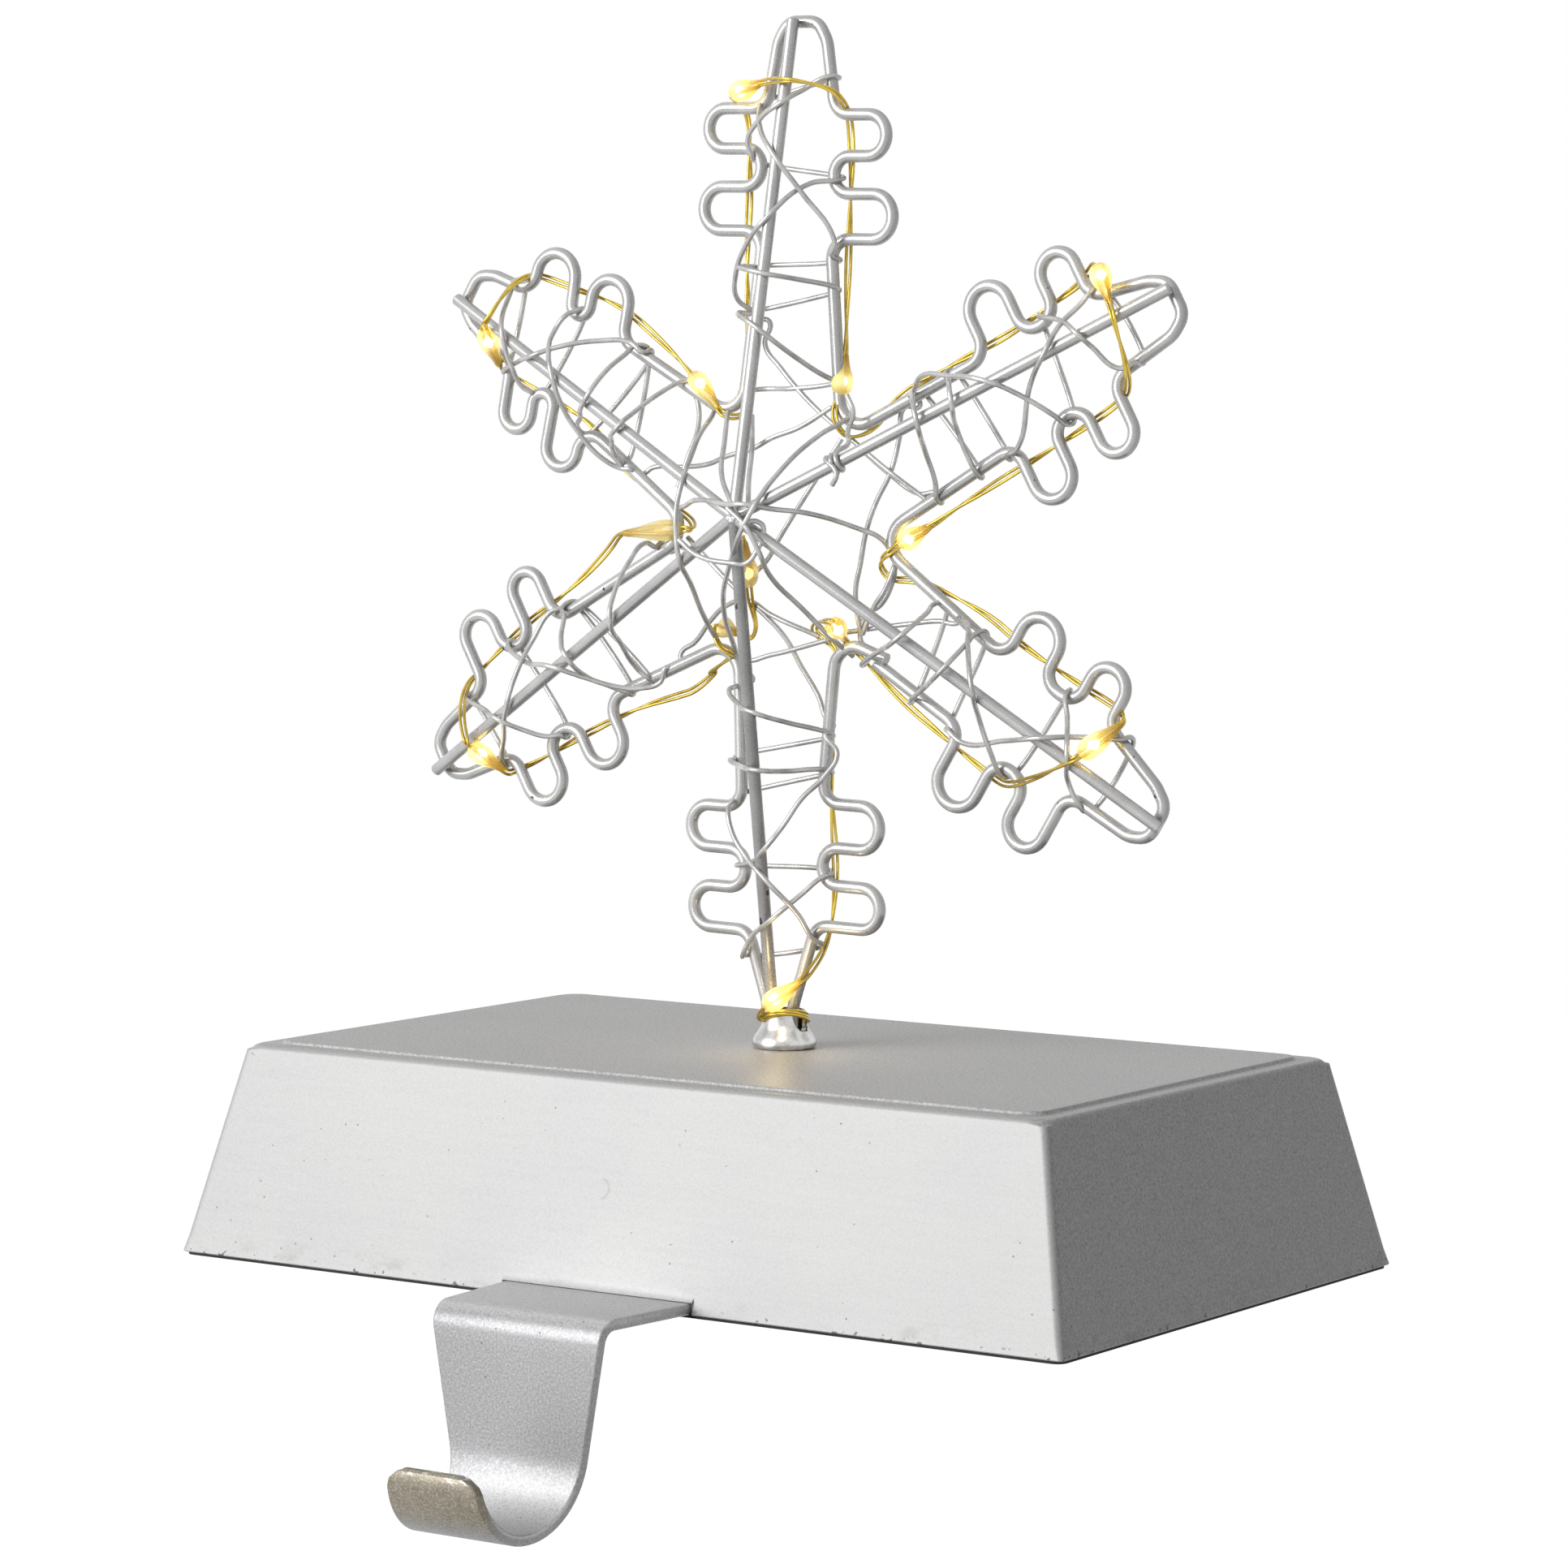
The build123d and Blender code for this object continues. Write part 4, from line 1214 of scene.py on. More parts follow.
SNOWFLAKE_ARMS = (
    Arm(
        1.3, (0.0, 68.5),
        Flank(5.6, (40.7, 46.6, 15.4), 6.2, (51.7, 57.1, 14.9)),
        Flank(5.25, (39.7, 45.7, 14.9), 5.5, (50.7, 56.2, 13.6)),
        (-0.5, 68.8),
        Winding(
            ((-7.3, 19.2, -0.3), (-6.2, 19.4, 1.2), (0.0, 19.7, 1.4)),
            (
                (20.8, ((0.5, 23.6, -5.0), (-6.6, 27.8, -10.2), (-9.5, 29.6, -6.0)), 30.0),
                (33.0, ((0.0, 34.3, -4.5), (-6.0, 35.1, -9.0), (-9.4, 35.9, -4.5)), 36.0),
                (37.0, ((5.8, 39.4, -1.8), (0.2, 46.0, -4.5), (-4.6, 51.2, -6.4), (-6.8, 55.2, -3.0)), 58.0),
                (61.1, ((0.0, 59.4, -2.6), (-3.6, 57.7, -4.9), (-6.8, 55.5, -3.6), (-8.6, 52.4, -2.0)), 50.0),
                (47.8, ((1.5, 47.0, -2.8), (-5.3, 42.4, -7.6), (-8.2, 39.2, -6.8), (-10.1, 34.5, -5.2),
                        (-9.6, 31.4, -3.0)), 29.2),
            ),
            ((-5.0, 25.5, 1.5), (-2.5, 22.5, 1.5), (3.0, 17.5, 1.3), (9.5, 13.0, 0.6), (15.5, 9.0, 0.6),
             (21.5, 5.5, 1.3)),
            (
                ((-10.5, 16.5, -1.5), (-11.0, 12.5, -5.5), (-11.5, 8.5, -9.5), (-10.0, 4.5, -14.0),
                 (-8.0, 1.0, -14.5)),
                ((9.5, 16.5, 0.5), (8.5, 15.5, -1.5), (4.5, 13.5, -4.5), (-2.0, 8.5, -11.0),
                 (-7.0, 2.5, -15.5), (-10.0, -4.0, -12.5), (-11.0, -10.5, -5.5), (-9.0, -16.0, 0.0)),
            ),
        ),
        StringRun(
            ((13.8, 15.6, 1.4), (11.8, 14.0, 1.2), (9.0, 13.3, 0.2), (7.4, 14.2, -1.2), (6.3, 16.2, -1.3),
             (6.7, 18.0, -0.6)),
            Lamp((7.4, 19.0, -0.2), (8.0, 24.6, 1.2)),
            ((8.0, 30.0, 1.5), (8.1, 38.0, 1.5), (8.2, 45.0, 1.5), (8.3, 50.0, 1.5), (7.9, 55.0, 1.4),
             (7.2, 57.2, -0.4), (5.0, 59.6, -2.2), (0.0, 60.6, -4.4), (-2.9, 60.9, -5.6)),
            Lamp((-6.4, 60.5, -3.4), (-11.2, 59.0, -1.6), True),
            ((-9.4, 57.6, 0.8), (-8.3, 55.0, 1.5), (-8.2, 50.0, 1.5), (-8.0, 45.0, 1.5), (-8.3, 38.0, 1.5),
             (-8.0, 31.0, 1.5), (-7.4, 25.0, 1.6), (-7.6, 20.0, 1.6)),
        ),
    ),
    Arm(
        61.3, (0.8, 66.8),
        Flank(6.3, (38.5, 44.8, 14.6), 5.9, (50.3, 55.8, 13.3)),
        Flank(6.0, (36.8, 42.8, 15.2), 6.3, (48.2, 53.6, 14.4)),
        (-0.3, 67.4),
        Winding(
            ((-5.0, 15.3, 0.6), (0.0, 17.7, 1.4), (4.6, 20.6, 1.4)),
            (
                (22.9, ((4.6, 23.5, -2.0), (0.0, 24.1, -5.5), (-4.2, 24.8, -10.6), (-7.4, 25.8, -6.0)), 26.8),
                (30.0, ((0.0, 29.8, -4.5), (-3.9, 30.8, -9.5), (-6.6, 31.8, -5.0)), 32.6),
                (35.0, ((6.6, 36.6, -1.6), (0.0, 42.6, -5.0), (-2.6, 46.4, -6.7), (-4.6, 50.2, -4.0),
                        (-5.4, 54.0, -2.0)), 57.4),
                (58.4, ((4.8, 55.4, -1.8), (0.0, 52.8, -3.8), (-2.0, 51.9, -5.7), (-5.0, 50.4, -3.0)), 47.8),
                (45.5, ((5.6, 43.9, -2.4), (0.0, 40.0, -5.5), (-3.3, 37.0, -8.4), (-7.0, 31.9, -6.2),
                        (-8.9, 28.4, -4.0)), 26.0),
            ),
            ((-6.5, 24.0, 1.3), (-3.5, 21.5, 1.5), (0.0, 18.0, 1.4), (2.5, 14.0, 1.0), (5.0, 11.0, 0.6),
             (8.5, 8.0, 0.4), (11.5, 5.5, 0.4), (17.0, 3.5, 1.3)),
            (
                ((8.0, 13.0, 0.0), (3.5, 7.0, -2.0), (-2.0, -0.5, -3.0), (-4.0, -3.5, -3.0),
                 (-7.0, -6.0, -3.0)),
            ),
        ),
        StringRun(
            ((12.6, 11.2, 1.5), (10.4, 10.6, 1.4), (9.4, 11.2, -0.6), (9.3, 12.8, -1.3)),
            Lamp((9.1, 14.6, -0.3), (9.2, 20.4, 0.9)),
            ((9.0, 25.0, 1.5), (9.0, 35.0, 1.5), (9.0, 45.0, 1.5), (8.8, 50.0, 1.5), (8.4, 54.0, 1.3),
             (7.6, 55.2, -0.8), (5.0, 56.3, -2.6), (-1.4, 57.4, -5.1)),
            Lamp((-3.6, 57.9, -4.2), (-8.6, 58.6, -2.4), True),
            ((-8.6, 57.4, 0.4), (-7.7, 55.5, 1.4), (-7.4, 50.0, 1.5), (-7.2, 45.0, 1.5), (-7.3, 40.0, 1.5),
             (-7.8, 35.0, 1.5), (-8.0, 30.0, 1.5), (-8.3, 26.0, 1.5), (-7.4, 21.0, 1.5)),
        ),
    ),
    Arm(
        121.3, (1.2, 67.4),
        Flank(4.3, (37.0, 43.3, 12.2), 4.9, (49.2, 54.7, 12.2)),
        Flank(7.4, (36.3, 42.8, 16.9), 7.8, (48.4, 54.2, 15.5)),
        (0.9, 68.9),
        Winding(
            ((-5.4, 16.2, 0.2), (-3.5, 16.9, 1.2), (0.0, 17.0, 1.4), (3.0, 15.7, 1.3), (6.0, 16.8, 1.3)),
            (
                (18.7, ((5.2, 20.2, -3.5), (2.3, 21.6, -11.2), (-2.5, 23.5, -6.0)), 25.2),
                (27.7, ((5.5, 28.6, -4.0), (2.1, 29.6, -9.8), (-2.5, 30.9, -4.5)), 32.4),
                (34.2, ((8.8, 37.2, -1.6), (5.0, 42.5, -4.0), (1.8, 46.7, -6.8), (-1.0, 50.6, -4.2),
                        (-3.6, 54.8, -2.0)), 58.2),
                (57.8, ((4.2, 53.6, -2.4), (1.6, 51.7, -5.9), (-3.0, 48.9, -2.6)), 47.2),
                (45.2, ((7.6, 41.8, -2.6), (4.2, 37.2, -5.6), (2.0, 34.8, -8.9), (-2.6, 31.2, -4.8),
                        (-5.0, 29.6, -2.0)), 28.2),
            ),
            ((-2.8, 25.6, 1.4), (0.0, 22.0, 1.5), (2.8, 18.5, 1.5), (6.2, 14.4, 1.2), (7.6, 12.6, 0.6)),
            (
                ((-10.5, 3.5, -15.0), (-7.5, 1.0, -15.5), (-5.5, -2.0, -14.5), (-3.5, -5.5, -11.5),
                 (2.0, -10.0, -6.0), (7.0, -14.0, -2.0), (10.0, -16.0, 1.0)),
                ((11.5, -13.0, 1.0), (13.5, -9.0, 0.0), (15.0, -7.0, 0.0), (17.0, -2.5, 1.0)),
            ),
        ),
        StringRun(
            ((9.4, 9.6, 1.4), (7.4, 9.6, 0.2)),
            Lamp((6.5, 11.8, -3.4), (7.3, 14.6, 1.3)),
            ((8.0, 19.0, 1.5), (9.0, 25.0, 1.5), (9.5, 30.0, 1.5), (9.9, 38.0, 1.5), (10.0, 44.0, 1.5),
             (9.8, 45.8, 0.3), (8.6, 47.2, -1.4), (5.5, 49.8, -4.0), (1.6, 52.3, -6.0)),
            Lamp((0.3, 53.1, -5.6), (-7.0, 56.3, -1.2)),
            ((-8.2, 54.6, 0.8), (-7.8, 50.0, 1.5), (-7.4, 44.0, 1.5), (-7.2, 38.0, 1.5), (-7.8, 32.0, 1.5),
             (-6.8, 25.0, 1.5), (-5.7, 20.0, 1.5)),
        ),
    ),
    Arm(
        181.3, (0.0, 72.7),
        Flank(6.0, (35.8, 41.7, 15.2), 6.3, (46.8, 52.4, 15.6)),
        Flank(7.0, (37.3, 43.0, 15.3), 6.2, (48.3, 54.0, 14.6)),
        (0.3, 68.6),
        Winding(
            ((-6.2, 13.8, 0.4), (0.0, 15.6, 1.0), (5.0, 17.0, 1.4), (7.4, 18.2, 1.3)),
            (
                (20.4, ((9.6, 21.4, -3.0), (8.2, 23.2, -6.0), (5.5, 24.3, -10.3), (0.0, 25.3, -5.5)), 26.6),
                (30.3, ((9.2, 31.0, -3.0), (7.5, 31.7, -6.0), (4.4, 32.1, -9.2), (0.0, 31.9, -5.0)), 31.6),
                (35.8, ((9.3, 37.8, -3.0), (8.7, 40.6, -4.0), (6.6, 43.6, -5.0), (2.6, 47.2, -6.2),
                        (-2.5, 51.2, -3.2)), 55.0),
                (57.5, ((5.2, 55.2, -2.0), (1.9, 52.3, -5.2), (-3.0, 48.4, -3.0)), 45.2),
                (45.2, ((5.6, 44.8, -2.2), (3.2, 42.7, -6.8), (0.4, 39.5, -5.6), (-2.7, 35.4, -4.0),
                        (-6.2, 32.2, -2.2), (-8.2, 29.0, -1.0)), 25.4),
            ),
            ((-5.0, 21.5, 1.5), (-2.0, 17.5, 1.4), (0.5, 14.0, 0.8), (4.0, 11.0, 0.2), (7.0, 9.0, 0.0),
             (11.0, 6.0, 0.2), (17.0, 1.0, 1.2)),
        ),
    ),
    Arm(
        241.3, (-0.3, 67.3),
        Flank(5.8, (38.0, 44.3, 13.9), 6.0, (49.8, 56.0, 13.8)),
        Flank(7.8, (40.4, 45.5, 16.4), 7.7, (50.3, 56.0, 14.8)),
        (-1.7, 68.3),
        Winding(
            ((6.6, 16.4, 0.9), (8.2, 18.6, 1.3)),
            (
                (19.6, ((10.2, 21.8, -2.6), (9.2, 25.6, -6.0), (6.2, 30.4, -9.6), (3.8, 32.3, -10.8),
                        (0.0, 32.2, -6.5), (-4.5, 31.3, -2.0)), 30.3),
                (37.0, ((7.8, 39.0, -3.0), (5.0, 41.1, -6.6), (2.6, 41.4, -9.0), (-1.0, 39.9, -6.0),
                        (-4.6, 36.4, -2.0)), 34.0),
                (37.6, ((9.3, 40.6, -1.6), (7.4, 45.2, -2.8), (4.8, 49.8, -5.2), (1.2, 54.1, -6.5),
                        (-2.4, 56.5, -3.4)), 58.0),
                (59.3, ((2.4, 57.6, -3.6), (0.3, 56.3, -6.1), (-3.0, 53.0, -3.8), (-5.6, 49.8, -2.0)), 46.8),
                (48.8, ((5.2, 48.1, -4.0), (2.4, 44.2, -8.6), (-1.5, 39.8, -6.0), (-5.0, 35.6, -3.4),
                        (-7.0, 32.0, -2.0), (-7.7, 28.8, -1.0)), 25.4),
            ),
            ((-5.5, 21.0, 1.4), (-4.0, 17.0, 1.2), (-3.5, 14.0, 0.6), (-4.5, 10.5, 0.0), (-8.0, 8.0, 0.0),
             (-14.0, 2.5, 1.2)),
            (
                ((-19.5, 3.0, 0.5), (-18.0, 3.5, -3.0), (-14.0, 4.5, -13.5), (-11.0, 4.0, -15.0),
                 (-7.5, 4.0, -15.5), (-3.5, 3.5, -13.0), (2.5, 3.0, -9.5), (11.0, 1.0, -3.0),
                 (14.0, 0.0, -1.5), (16.5, -2.5, 1.0)),
                ((-18.5, -1.0, -13.5), (-15.5, -3.0, -14.0), (-9.5, -4.0, -14.5), (-7.5, -4.0, -14.0),
                 (-5.5, -2.0, -13.5), (-4.5, 0.5, -13.0), (-5.0, 1.5, -13.5), (-7.5, 1.5, -15.0),
                 (-8.5, 0.0, -15.0)),
            ),
        ),
        StringRun(
            ((9.6, 13.6, 1.4), (8.4, 13.6, 0.4), (8.2, 14.2, -1.0)),
            Lamp((9.0, 15.4, -1.3), (13.2, 24.7, 0.8), False, 0.02),
            ((12.3, 27.6, 1.5), (11.0, 33.0, 1.5), (10.3, 38.0, 1.5), (10.0, 43.0, 1.5), (9.3, 48.0, 1.5),
             (8.2, 53.0, 1.5), (7.5, 56.4, 1.2), (7.0, 58.6, -0.6), (5.4, 60.6, -2.4), (3.0, 62.0, -4.2),
             (-0.2, 62.8, -6.0)),
            Lamp((-0.9, 62.5, -5.0), (-6.7, 58.6, -1.0)),
            ((-7.4, 57.0, 0.9), (-8.0, 53.0, 1.5), (-8.3, 45.0, 1.5), (-8.7, 38.0, 1.5), (-9.5, 32.0, 1.5),
             (-10.8, 26.5, 1.5), (-11.3, 24.0, 1.5), (-10.6, 19.5, 1.4)),
        ),
    ),
    Arm(
        301.3, (0.3, 63.5),
        Flank(5.3, (37.5, 43.2, 12.9), 5.2, (47.0, 52.0, 12.4), -2.6),
        Flank(7.8, (37.5, 44.0, 14.3), 6.8, (47.2, 54.0, 12.7), 2.4),
        (-1.4, 63.9),
        Winding(
            ((-4.5, 19.2, 0.8), (0.0, 19.9, 1.4), (4.1, 20.5, 1.4), (7.2, 22.4, 1.3)),
            (
                (24.8, ((5.0, 28.4, -4.0), (0.0, 31.0, -8.2), (-2.6, 32.1, -10.6), (-5.0, 31.9, -6.0),
                        (-6.1, 30.6, -2.4)), 28.6),
                (33.9, ((6.4, 36.2, -3.0), (2.5, 37.9, -6.6), (-2.5, 38.8, -9.2), (-5.0, 38.2, -4.6)), 36.4),
                (33.0, ((8.2, 36.4, -1.6), (5.8, 40.8, -3.0), (0.8, 47.1, -5.6), (-2.2, 49.9, -6.8),
                        (-4.2, 51.5, -3.4)), 52.8),
                (56.6, ((3.6, 57.5, -2.0), (0.0, 57.0, -4.2), (-2.2, 55.7, -5.6), (-5.0, 52.2, -3.8),
                        (-6.6, 48.8, -1.8)), 46.2),
                (45.6, ((5.8, 47.6, -2.2), (2.8, 48.2, -3.4), (0.0, 47.6, -6.2), (-2.6, 45.4, -7.8),
                        (-5.3, 41.6, -6.0), (-7.0, 37.0, -3.6), (-7.8, 32.2, -2.4), (-7.2, 28.4, -1.0)),
                 25.8),
            ),
            ((-2.0, 20.5, 1.4), (1.0, 16.5, 0.8), (3.5, 14.5, 0.2), (6.5, 11.5, 0.1), (9.5, 9.5, 0.2),
             (13.0, 6.5, 0.5), (18.0, 3.5, 1.1)),
            (
                ((-12.5, 17.0, 1.0), (-13.0, 16.0, -0.5), (-15.0, 13.5, -5.0), (-16.5, 10.5, -9.5),
                 (-18.0, 7.0, -13.0), (-19.0, 3.0, -13.5), (-19.0, 0.0, -13.5), (-18.5, -3.5, -13.0),
                 (-16.5, -7.0, -9.5), (-14.5, -11.0, -5.5), (-11.0, -16.0, 1.0)),
                ((-6.5, 16.0, 1.0), (-6.5, 11.5, -3.0), (-7.0, 7.0, -8.0), (-7.0, 2.5, -13.5)),
            ),
        ),
        StringRun(
            ((10.9, 14.2, 1.4), (8.6, 16.0, -0.2), (8.0, 18.0, -1.2)),
            Lamp((8.2, 18.9, -0.8), (9.9, 25.2, 0.8), True),
            ((10.7, 29.0, 1.5), (11.3, 34.0, 1.5), (11.7, 39.0, 1.5), (11.0, 43.5, 1.5), (10.0, 47.0, 1.5),
             (9.0, 51.0, 1.5), (8.2, 54.2, 1.2), (7.0, 56.2, -0.8), (4.6, 57.8, -3.2), (1.5, 58.6, -5.0),
             (-2.0, 59.0, -6.2)),
            Lamp((-3.2, 58.8, -5.0), (-6.2, 53.8, -0.6)),
            ((-6.3, 52.0, 1.2), (-6.0, 48.0, 1.5), (-5.0, 41.0, 1.5), (-4.7, 36.0, 1.5), (-6.0, 32.0, 1.5),
             (-7.0, 28.0, 1.5), (-7.2, 24.0, 1.5), (-7.0, 18.5, 1.5)),
        ),
    ),
)


FOOT_STRING: Trace = (
    (-6.5, 56.4, 0.6), (-7.7, 53.5, 1.4), (-8.3, 50.0, 1.5), (-8.5, 45.0, 1.5), (-8.0, 40.0, 1.5),
    (-7.5, 35.0, 1.5), (-7.3, 30.0, 1.5), (-7.0, 24.0, 1.5), (-7.0, 18.0, 1.5), (-8.2, 14.8, 1.4),
)


@dataclass(frozen=True)
class Snowflake:
    """Wire snowflake: bent outline, spokes and binding. Sizes in millimetres.

    Attributes:
        middle: Middle of the outline.
        hub: Where the spokes meet in front of it.
        wire: Wire of the outline.
        rod: Wire of the spokes.
        thread: Wire of the binding.
        arms: The six arms, clockwise from the top.
        crotches: Radius of the bend between each arm and the next.
        crotch_corner: How far inside that bend its corner lies, and the corner's bend radius.
        crown_half: Half width of the outline above the lobes.
        lobe_bend: Bend radius at the foot of a lobe.
        tip_shoulder: How far below the tip its shoulder lies, its half width and its bend radius.
        tip_top: Half width and bend radius of the tip.
        foot_half: Half width of the outline in the foot.
        foot_bend: Bend radius at the outline's lower end.
        neck: Station at which the outline enters the bell.
        neck_corner: How much wider the outline is there, and its bend radius.
        foot: Number of the arm that stands in the bell.
        lapped: Number of the arm at which the outline's ends lap.
        laps: Station, place across and depth of the outline's two ends.
        spoke_front: How far the outer end of a spoke lies in front of the outline.
        foot_front: The same for the foot's spoke.
        past_hub: How far a spoke runs on past the hub.
        bevel: Length of the bevel at a spoke's ends.
        bevel_share: Thickness of a spoke's ends as a share of its own.
        drift: Share of the way to the next turn that a turn of the binding drifts, and the most.
        tied: Number of the spoke that a binding's end is tied to.
        tie_from: How that end comes to the spoke, in the upright frame.
        tie_turns: Where it goes round the spoke, as shares of its length.
        tie_tail: How it runs out, in the upright frame.
    """

    middle: Point = (0.8, 0.0, 98.7)
    hub: Point = (0.8, -13.7, 101.4)
    wire: Gauge = Gauge(1.7, 14, 0.45)
    rod: Gauge = Gauge(1.7, 16, 0.12)
    thread: Gauge = Gauge(0.7, 10, 0.35)
    arms: tuple[Arm, ...] = SNOWFLAKE_ARMS
    crotches: tuple[float, ...] = (17.0, 15.0, 17.0, 18.0, 17.4, 18.7)
    crotch_corner: tuple[float, float] = (1.6, 3.4)
    crown_half: float = 5.5
    lobe_bend: float = 2.6
    tip_shoulder: Point = (2.6, 3.9, 4.0)
    tip_top: tuple[float, float] = (2.4, 2.3)
    foot_half: float = 1.6
    foot_bend: float = 2.0
    neck: float = 63.6
    neck_corner: tuple[float, float] = (0.5, 8.0)
    foot: int = 3
    lapped: int = 2
    laps: tuple[Point, Point] = ((21.6, 5.9, -0.1), (20.4, 7.3, 0.1))
    spoke_front: float = 1.75
    foot_front: float = 0.7
    past_hub: float = 0.9
    bevel: float = 0.12
    bevel_share: float = 0.86
    drift: tuple[float, float] = (0.22, 2.4)
    tied: int = 1
    tie_from: Trace = ((8.8, 18.8, -1.6), (9.8, 16.6, -2.2), (9.0, 14.2, -4.5), (8.9, 12.2, -8.6))
    tie_turns: tuple[float, float] = (0.262, 0.238)
    tie_tail: Trace = ((7.2, 8.3, -12.2), (6.5, 6.8, -12.0))

    def at(self, angle: float, station: float, across: float, depth: float = 0.0) -> Vector:
        """A point in metres by its arm's clockwise angle, its station, and its place across and behind."""
        turn = math.radians(angle)
        out = Vector((math.sin(turn), 0, math.cos(turn)))
        right = Vector((math.cos(turn), 0, -math.sin(turn)))
        return (Vector(self.middle) + out * station + right * across + Vector((0, depth, 0))) * MM

    def flank_corners(self, arm: Arm, side: Side) -> list[Corner]:
        """Corners of one flank from the crotch outwards, with their bend radii.

        Args:
            arm: The arm.
            side: Which side.

        Returns:
            Corners in metres and radii in millimetres.
        """
        flank = arm.flank(side)
        sign = side.value
        corners = []
        lobes = ((flank.near, flank.side, flank.waist), (flank.far, flank.waist, self.crown_half))
        for (start, end, reach), inner, outer in lobes:
            round_end = (end - start) / 2
            corners.append((self.at(arm.angle, start, sign * inner), self.lobe_bend))
            corners.append((self.at(arm.angle, start + flank.lean, sign * reach), round_end))
            corners.append((self.at(arm.angle, end + flank.lean, sign * reach), round_end))
            corners.append((self.at(arm.angle, end, sign * outer), self.lobe_bend))
        return corners

    def tip_corners(self, index: int, side: Side) -> list[Corner]:
        """Corners of one half of an arm's tip, outwards.

        Args:
            index: Number of the arm.
            side: Which side.

        Returns:
            Corners in metres and radii in millimetres.
        """
        arm = self.arms[index]
        sign = side.value
        across, station = arm.tip
        if index == self.foot:
            wider, bend = self.neck_corner
            neck = self.at(arm.angle, self.neck, sign * (self.foot_half + wider))
            return [(neck, bend), (self.at(arm.angle, station, sign * self.foot_half), self.foot_bend)]
        below, half, bend = self.tip_shoulder
        shoulder = self.at(arm.angle, station - below, across + sign * half)
        half_top, top_bend = self.tip_top
        return [(shoulder, bend), (self.at(arm.angle, station, across + sign * half_top), top_bend)]

    def outline(self) -> list[Corner]:
        """Corners of the whole outline from one lapped end to the other.

        Returns:
            Corners in metres and radii in millimetres.
        """
        count = len(self.arms)
        first, last = ((self.at(self.arms[self.lapped].angle, *place), 0.0) for place in self.laps)
        inside, bend = self.crotch_corner
        corners: list[Corner] = [first]
        for step in range(count):
            index = (self.lapped + 1 + step) % count
            before = (index - 1) % count
            angle = self.arms[before].angle + 30
            corners.append((self.at(angle, self.crotches[before] - inside, 0.0), bend))
            corners.extend(self.flank_corners(self.arms[index], Side.LEFT))
            corners.extend(self.tip_corners(index, Side.LEFT))
            corners.extend(reversed(self.tip_corners(index, Side.RIGHT)))
            corners.extend(reversed(self.flank_corners(self.arms[index], Side.RIGHT)))
        return [*corners, last]

    def spoke_ends(self, index: int) -> tuple[Vector, Vector]:
        """Inner and outer end of a spoke, in metres."""
        arm = self.arms[index]
        across, station = arm.spoke
        front = self.foot_front if index == self.foot else self.spoke_front
        outer = self.at(arm.angle, station, across, -front)
        inner = Vector(self.hub) * MM
        return inner + (inner - outer).normalized() * self.past_hub * MM, outer

    def sight(self, angle: float, point: Point) -> Vector:
        """The point in metres that the eye sees over a place across, along and behind the outline."""
        across, station, depth = point
        flat = self.at(angle, station, across)
        ray = flat - Vector(EYE)
        return flat + ray * (depth * MM / ray.y)

    def winding_points(self, arm: Arm) -> list[Vector]:
        """The binding of one arm, from its start in the crotch to its end there.

        Args:
            arm: The arm.

        Returns:
            Points in metres.
        """
        wrap = (self.wire.diameter + self.thread.diameter) / 2
        snug = wrap + 0.05
        points = [self.sight(arm.angle, point) for point in arm.winding.start]

        def turn(side: Side, station: float, to_front: bool, drift: float) -> None:
            """Hook the thread round one side, to the front or to the back, drifting along the arm."""
            half = arm.half_width(side, station)
            places = [
                (half - 0.4, snug),
                (half + wrap * 0.75, wrap * 0.75),
                (half + snug, 0.0),
                (half + wrap * 0.7, -wrap * 0.8),
            ]
            for number, (across, depth) in enumerate(places if to_front else reversed(places)):
                shifted = station + drift * (number / 3 - 0.5)
                points.append(self.at(arm.angle, shifted, side.value * across, depth))

        def drift_of(before: float, after: float) -> float:
            """How far a turn drifts between the stations before and after it."""
            share, most = self.drift
            return max(min((after - before) * share, most), -most)

        turns = arm.winding.turns
        came_from = arm.winding.start[-1][1]
        for number, (right, trace, left) in enumerate(turns):
            turn(Side.RIGHT, right, True, drift_of(came_from, trace[0][1]))
            points.extend(self.sight(arm.angle, point) for point in trace)
            goes_to = turns[number + 1][0] if number + 1 < len(turns) else arm.winding.end[0][1]
            turn(Side.LEFT, left, False, drift_of(trace[-1][1], goes_to))
            came_from = left
        points.extend(self.sight(arm.angle, point) for point in arm.winding.end)
        return points

    def tied_end(self) -> list[Vector]:
        """A binding's end: down from the crotch, twice round the spoke that leans right, and its tail.

        Returns:
            Points in metres.
        """
        inner, outer = self.spoke_ends(self.tied)
        run = (outer - inner).normalized()
        side = run.cross(Vector((0, 1, 0))).normalized()
        other = run.cross(side)
        reach = (self.wire.diameter + self.thread.diameter) / 2 * MM
        start, end = self.tie_turns
        steps, rounds, first_turn = 16, 2, 0.6
        points = [self.sight(0.0, point) for point in self.tie_from]
        for step in range(steps + 1):
            turn = math.tau * rounds * step / steps + first_turn
            middle = inner.lerp(outer, start + (end - start) * step / steps)
            points.append(middle + (side * math.cos(turn) + other * math.sin(turn)) * reach)
        points.extend(self.sight(0.0, point) for point in self.tie_tail)
        return points

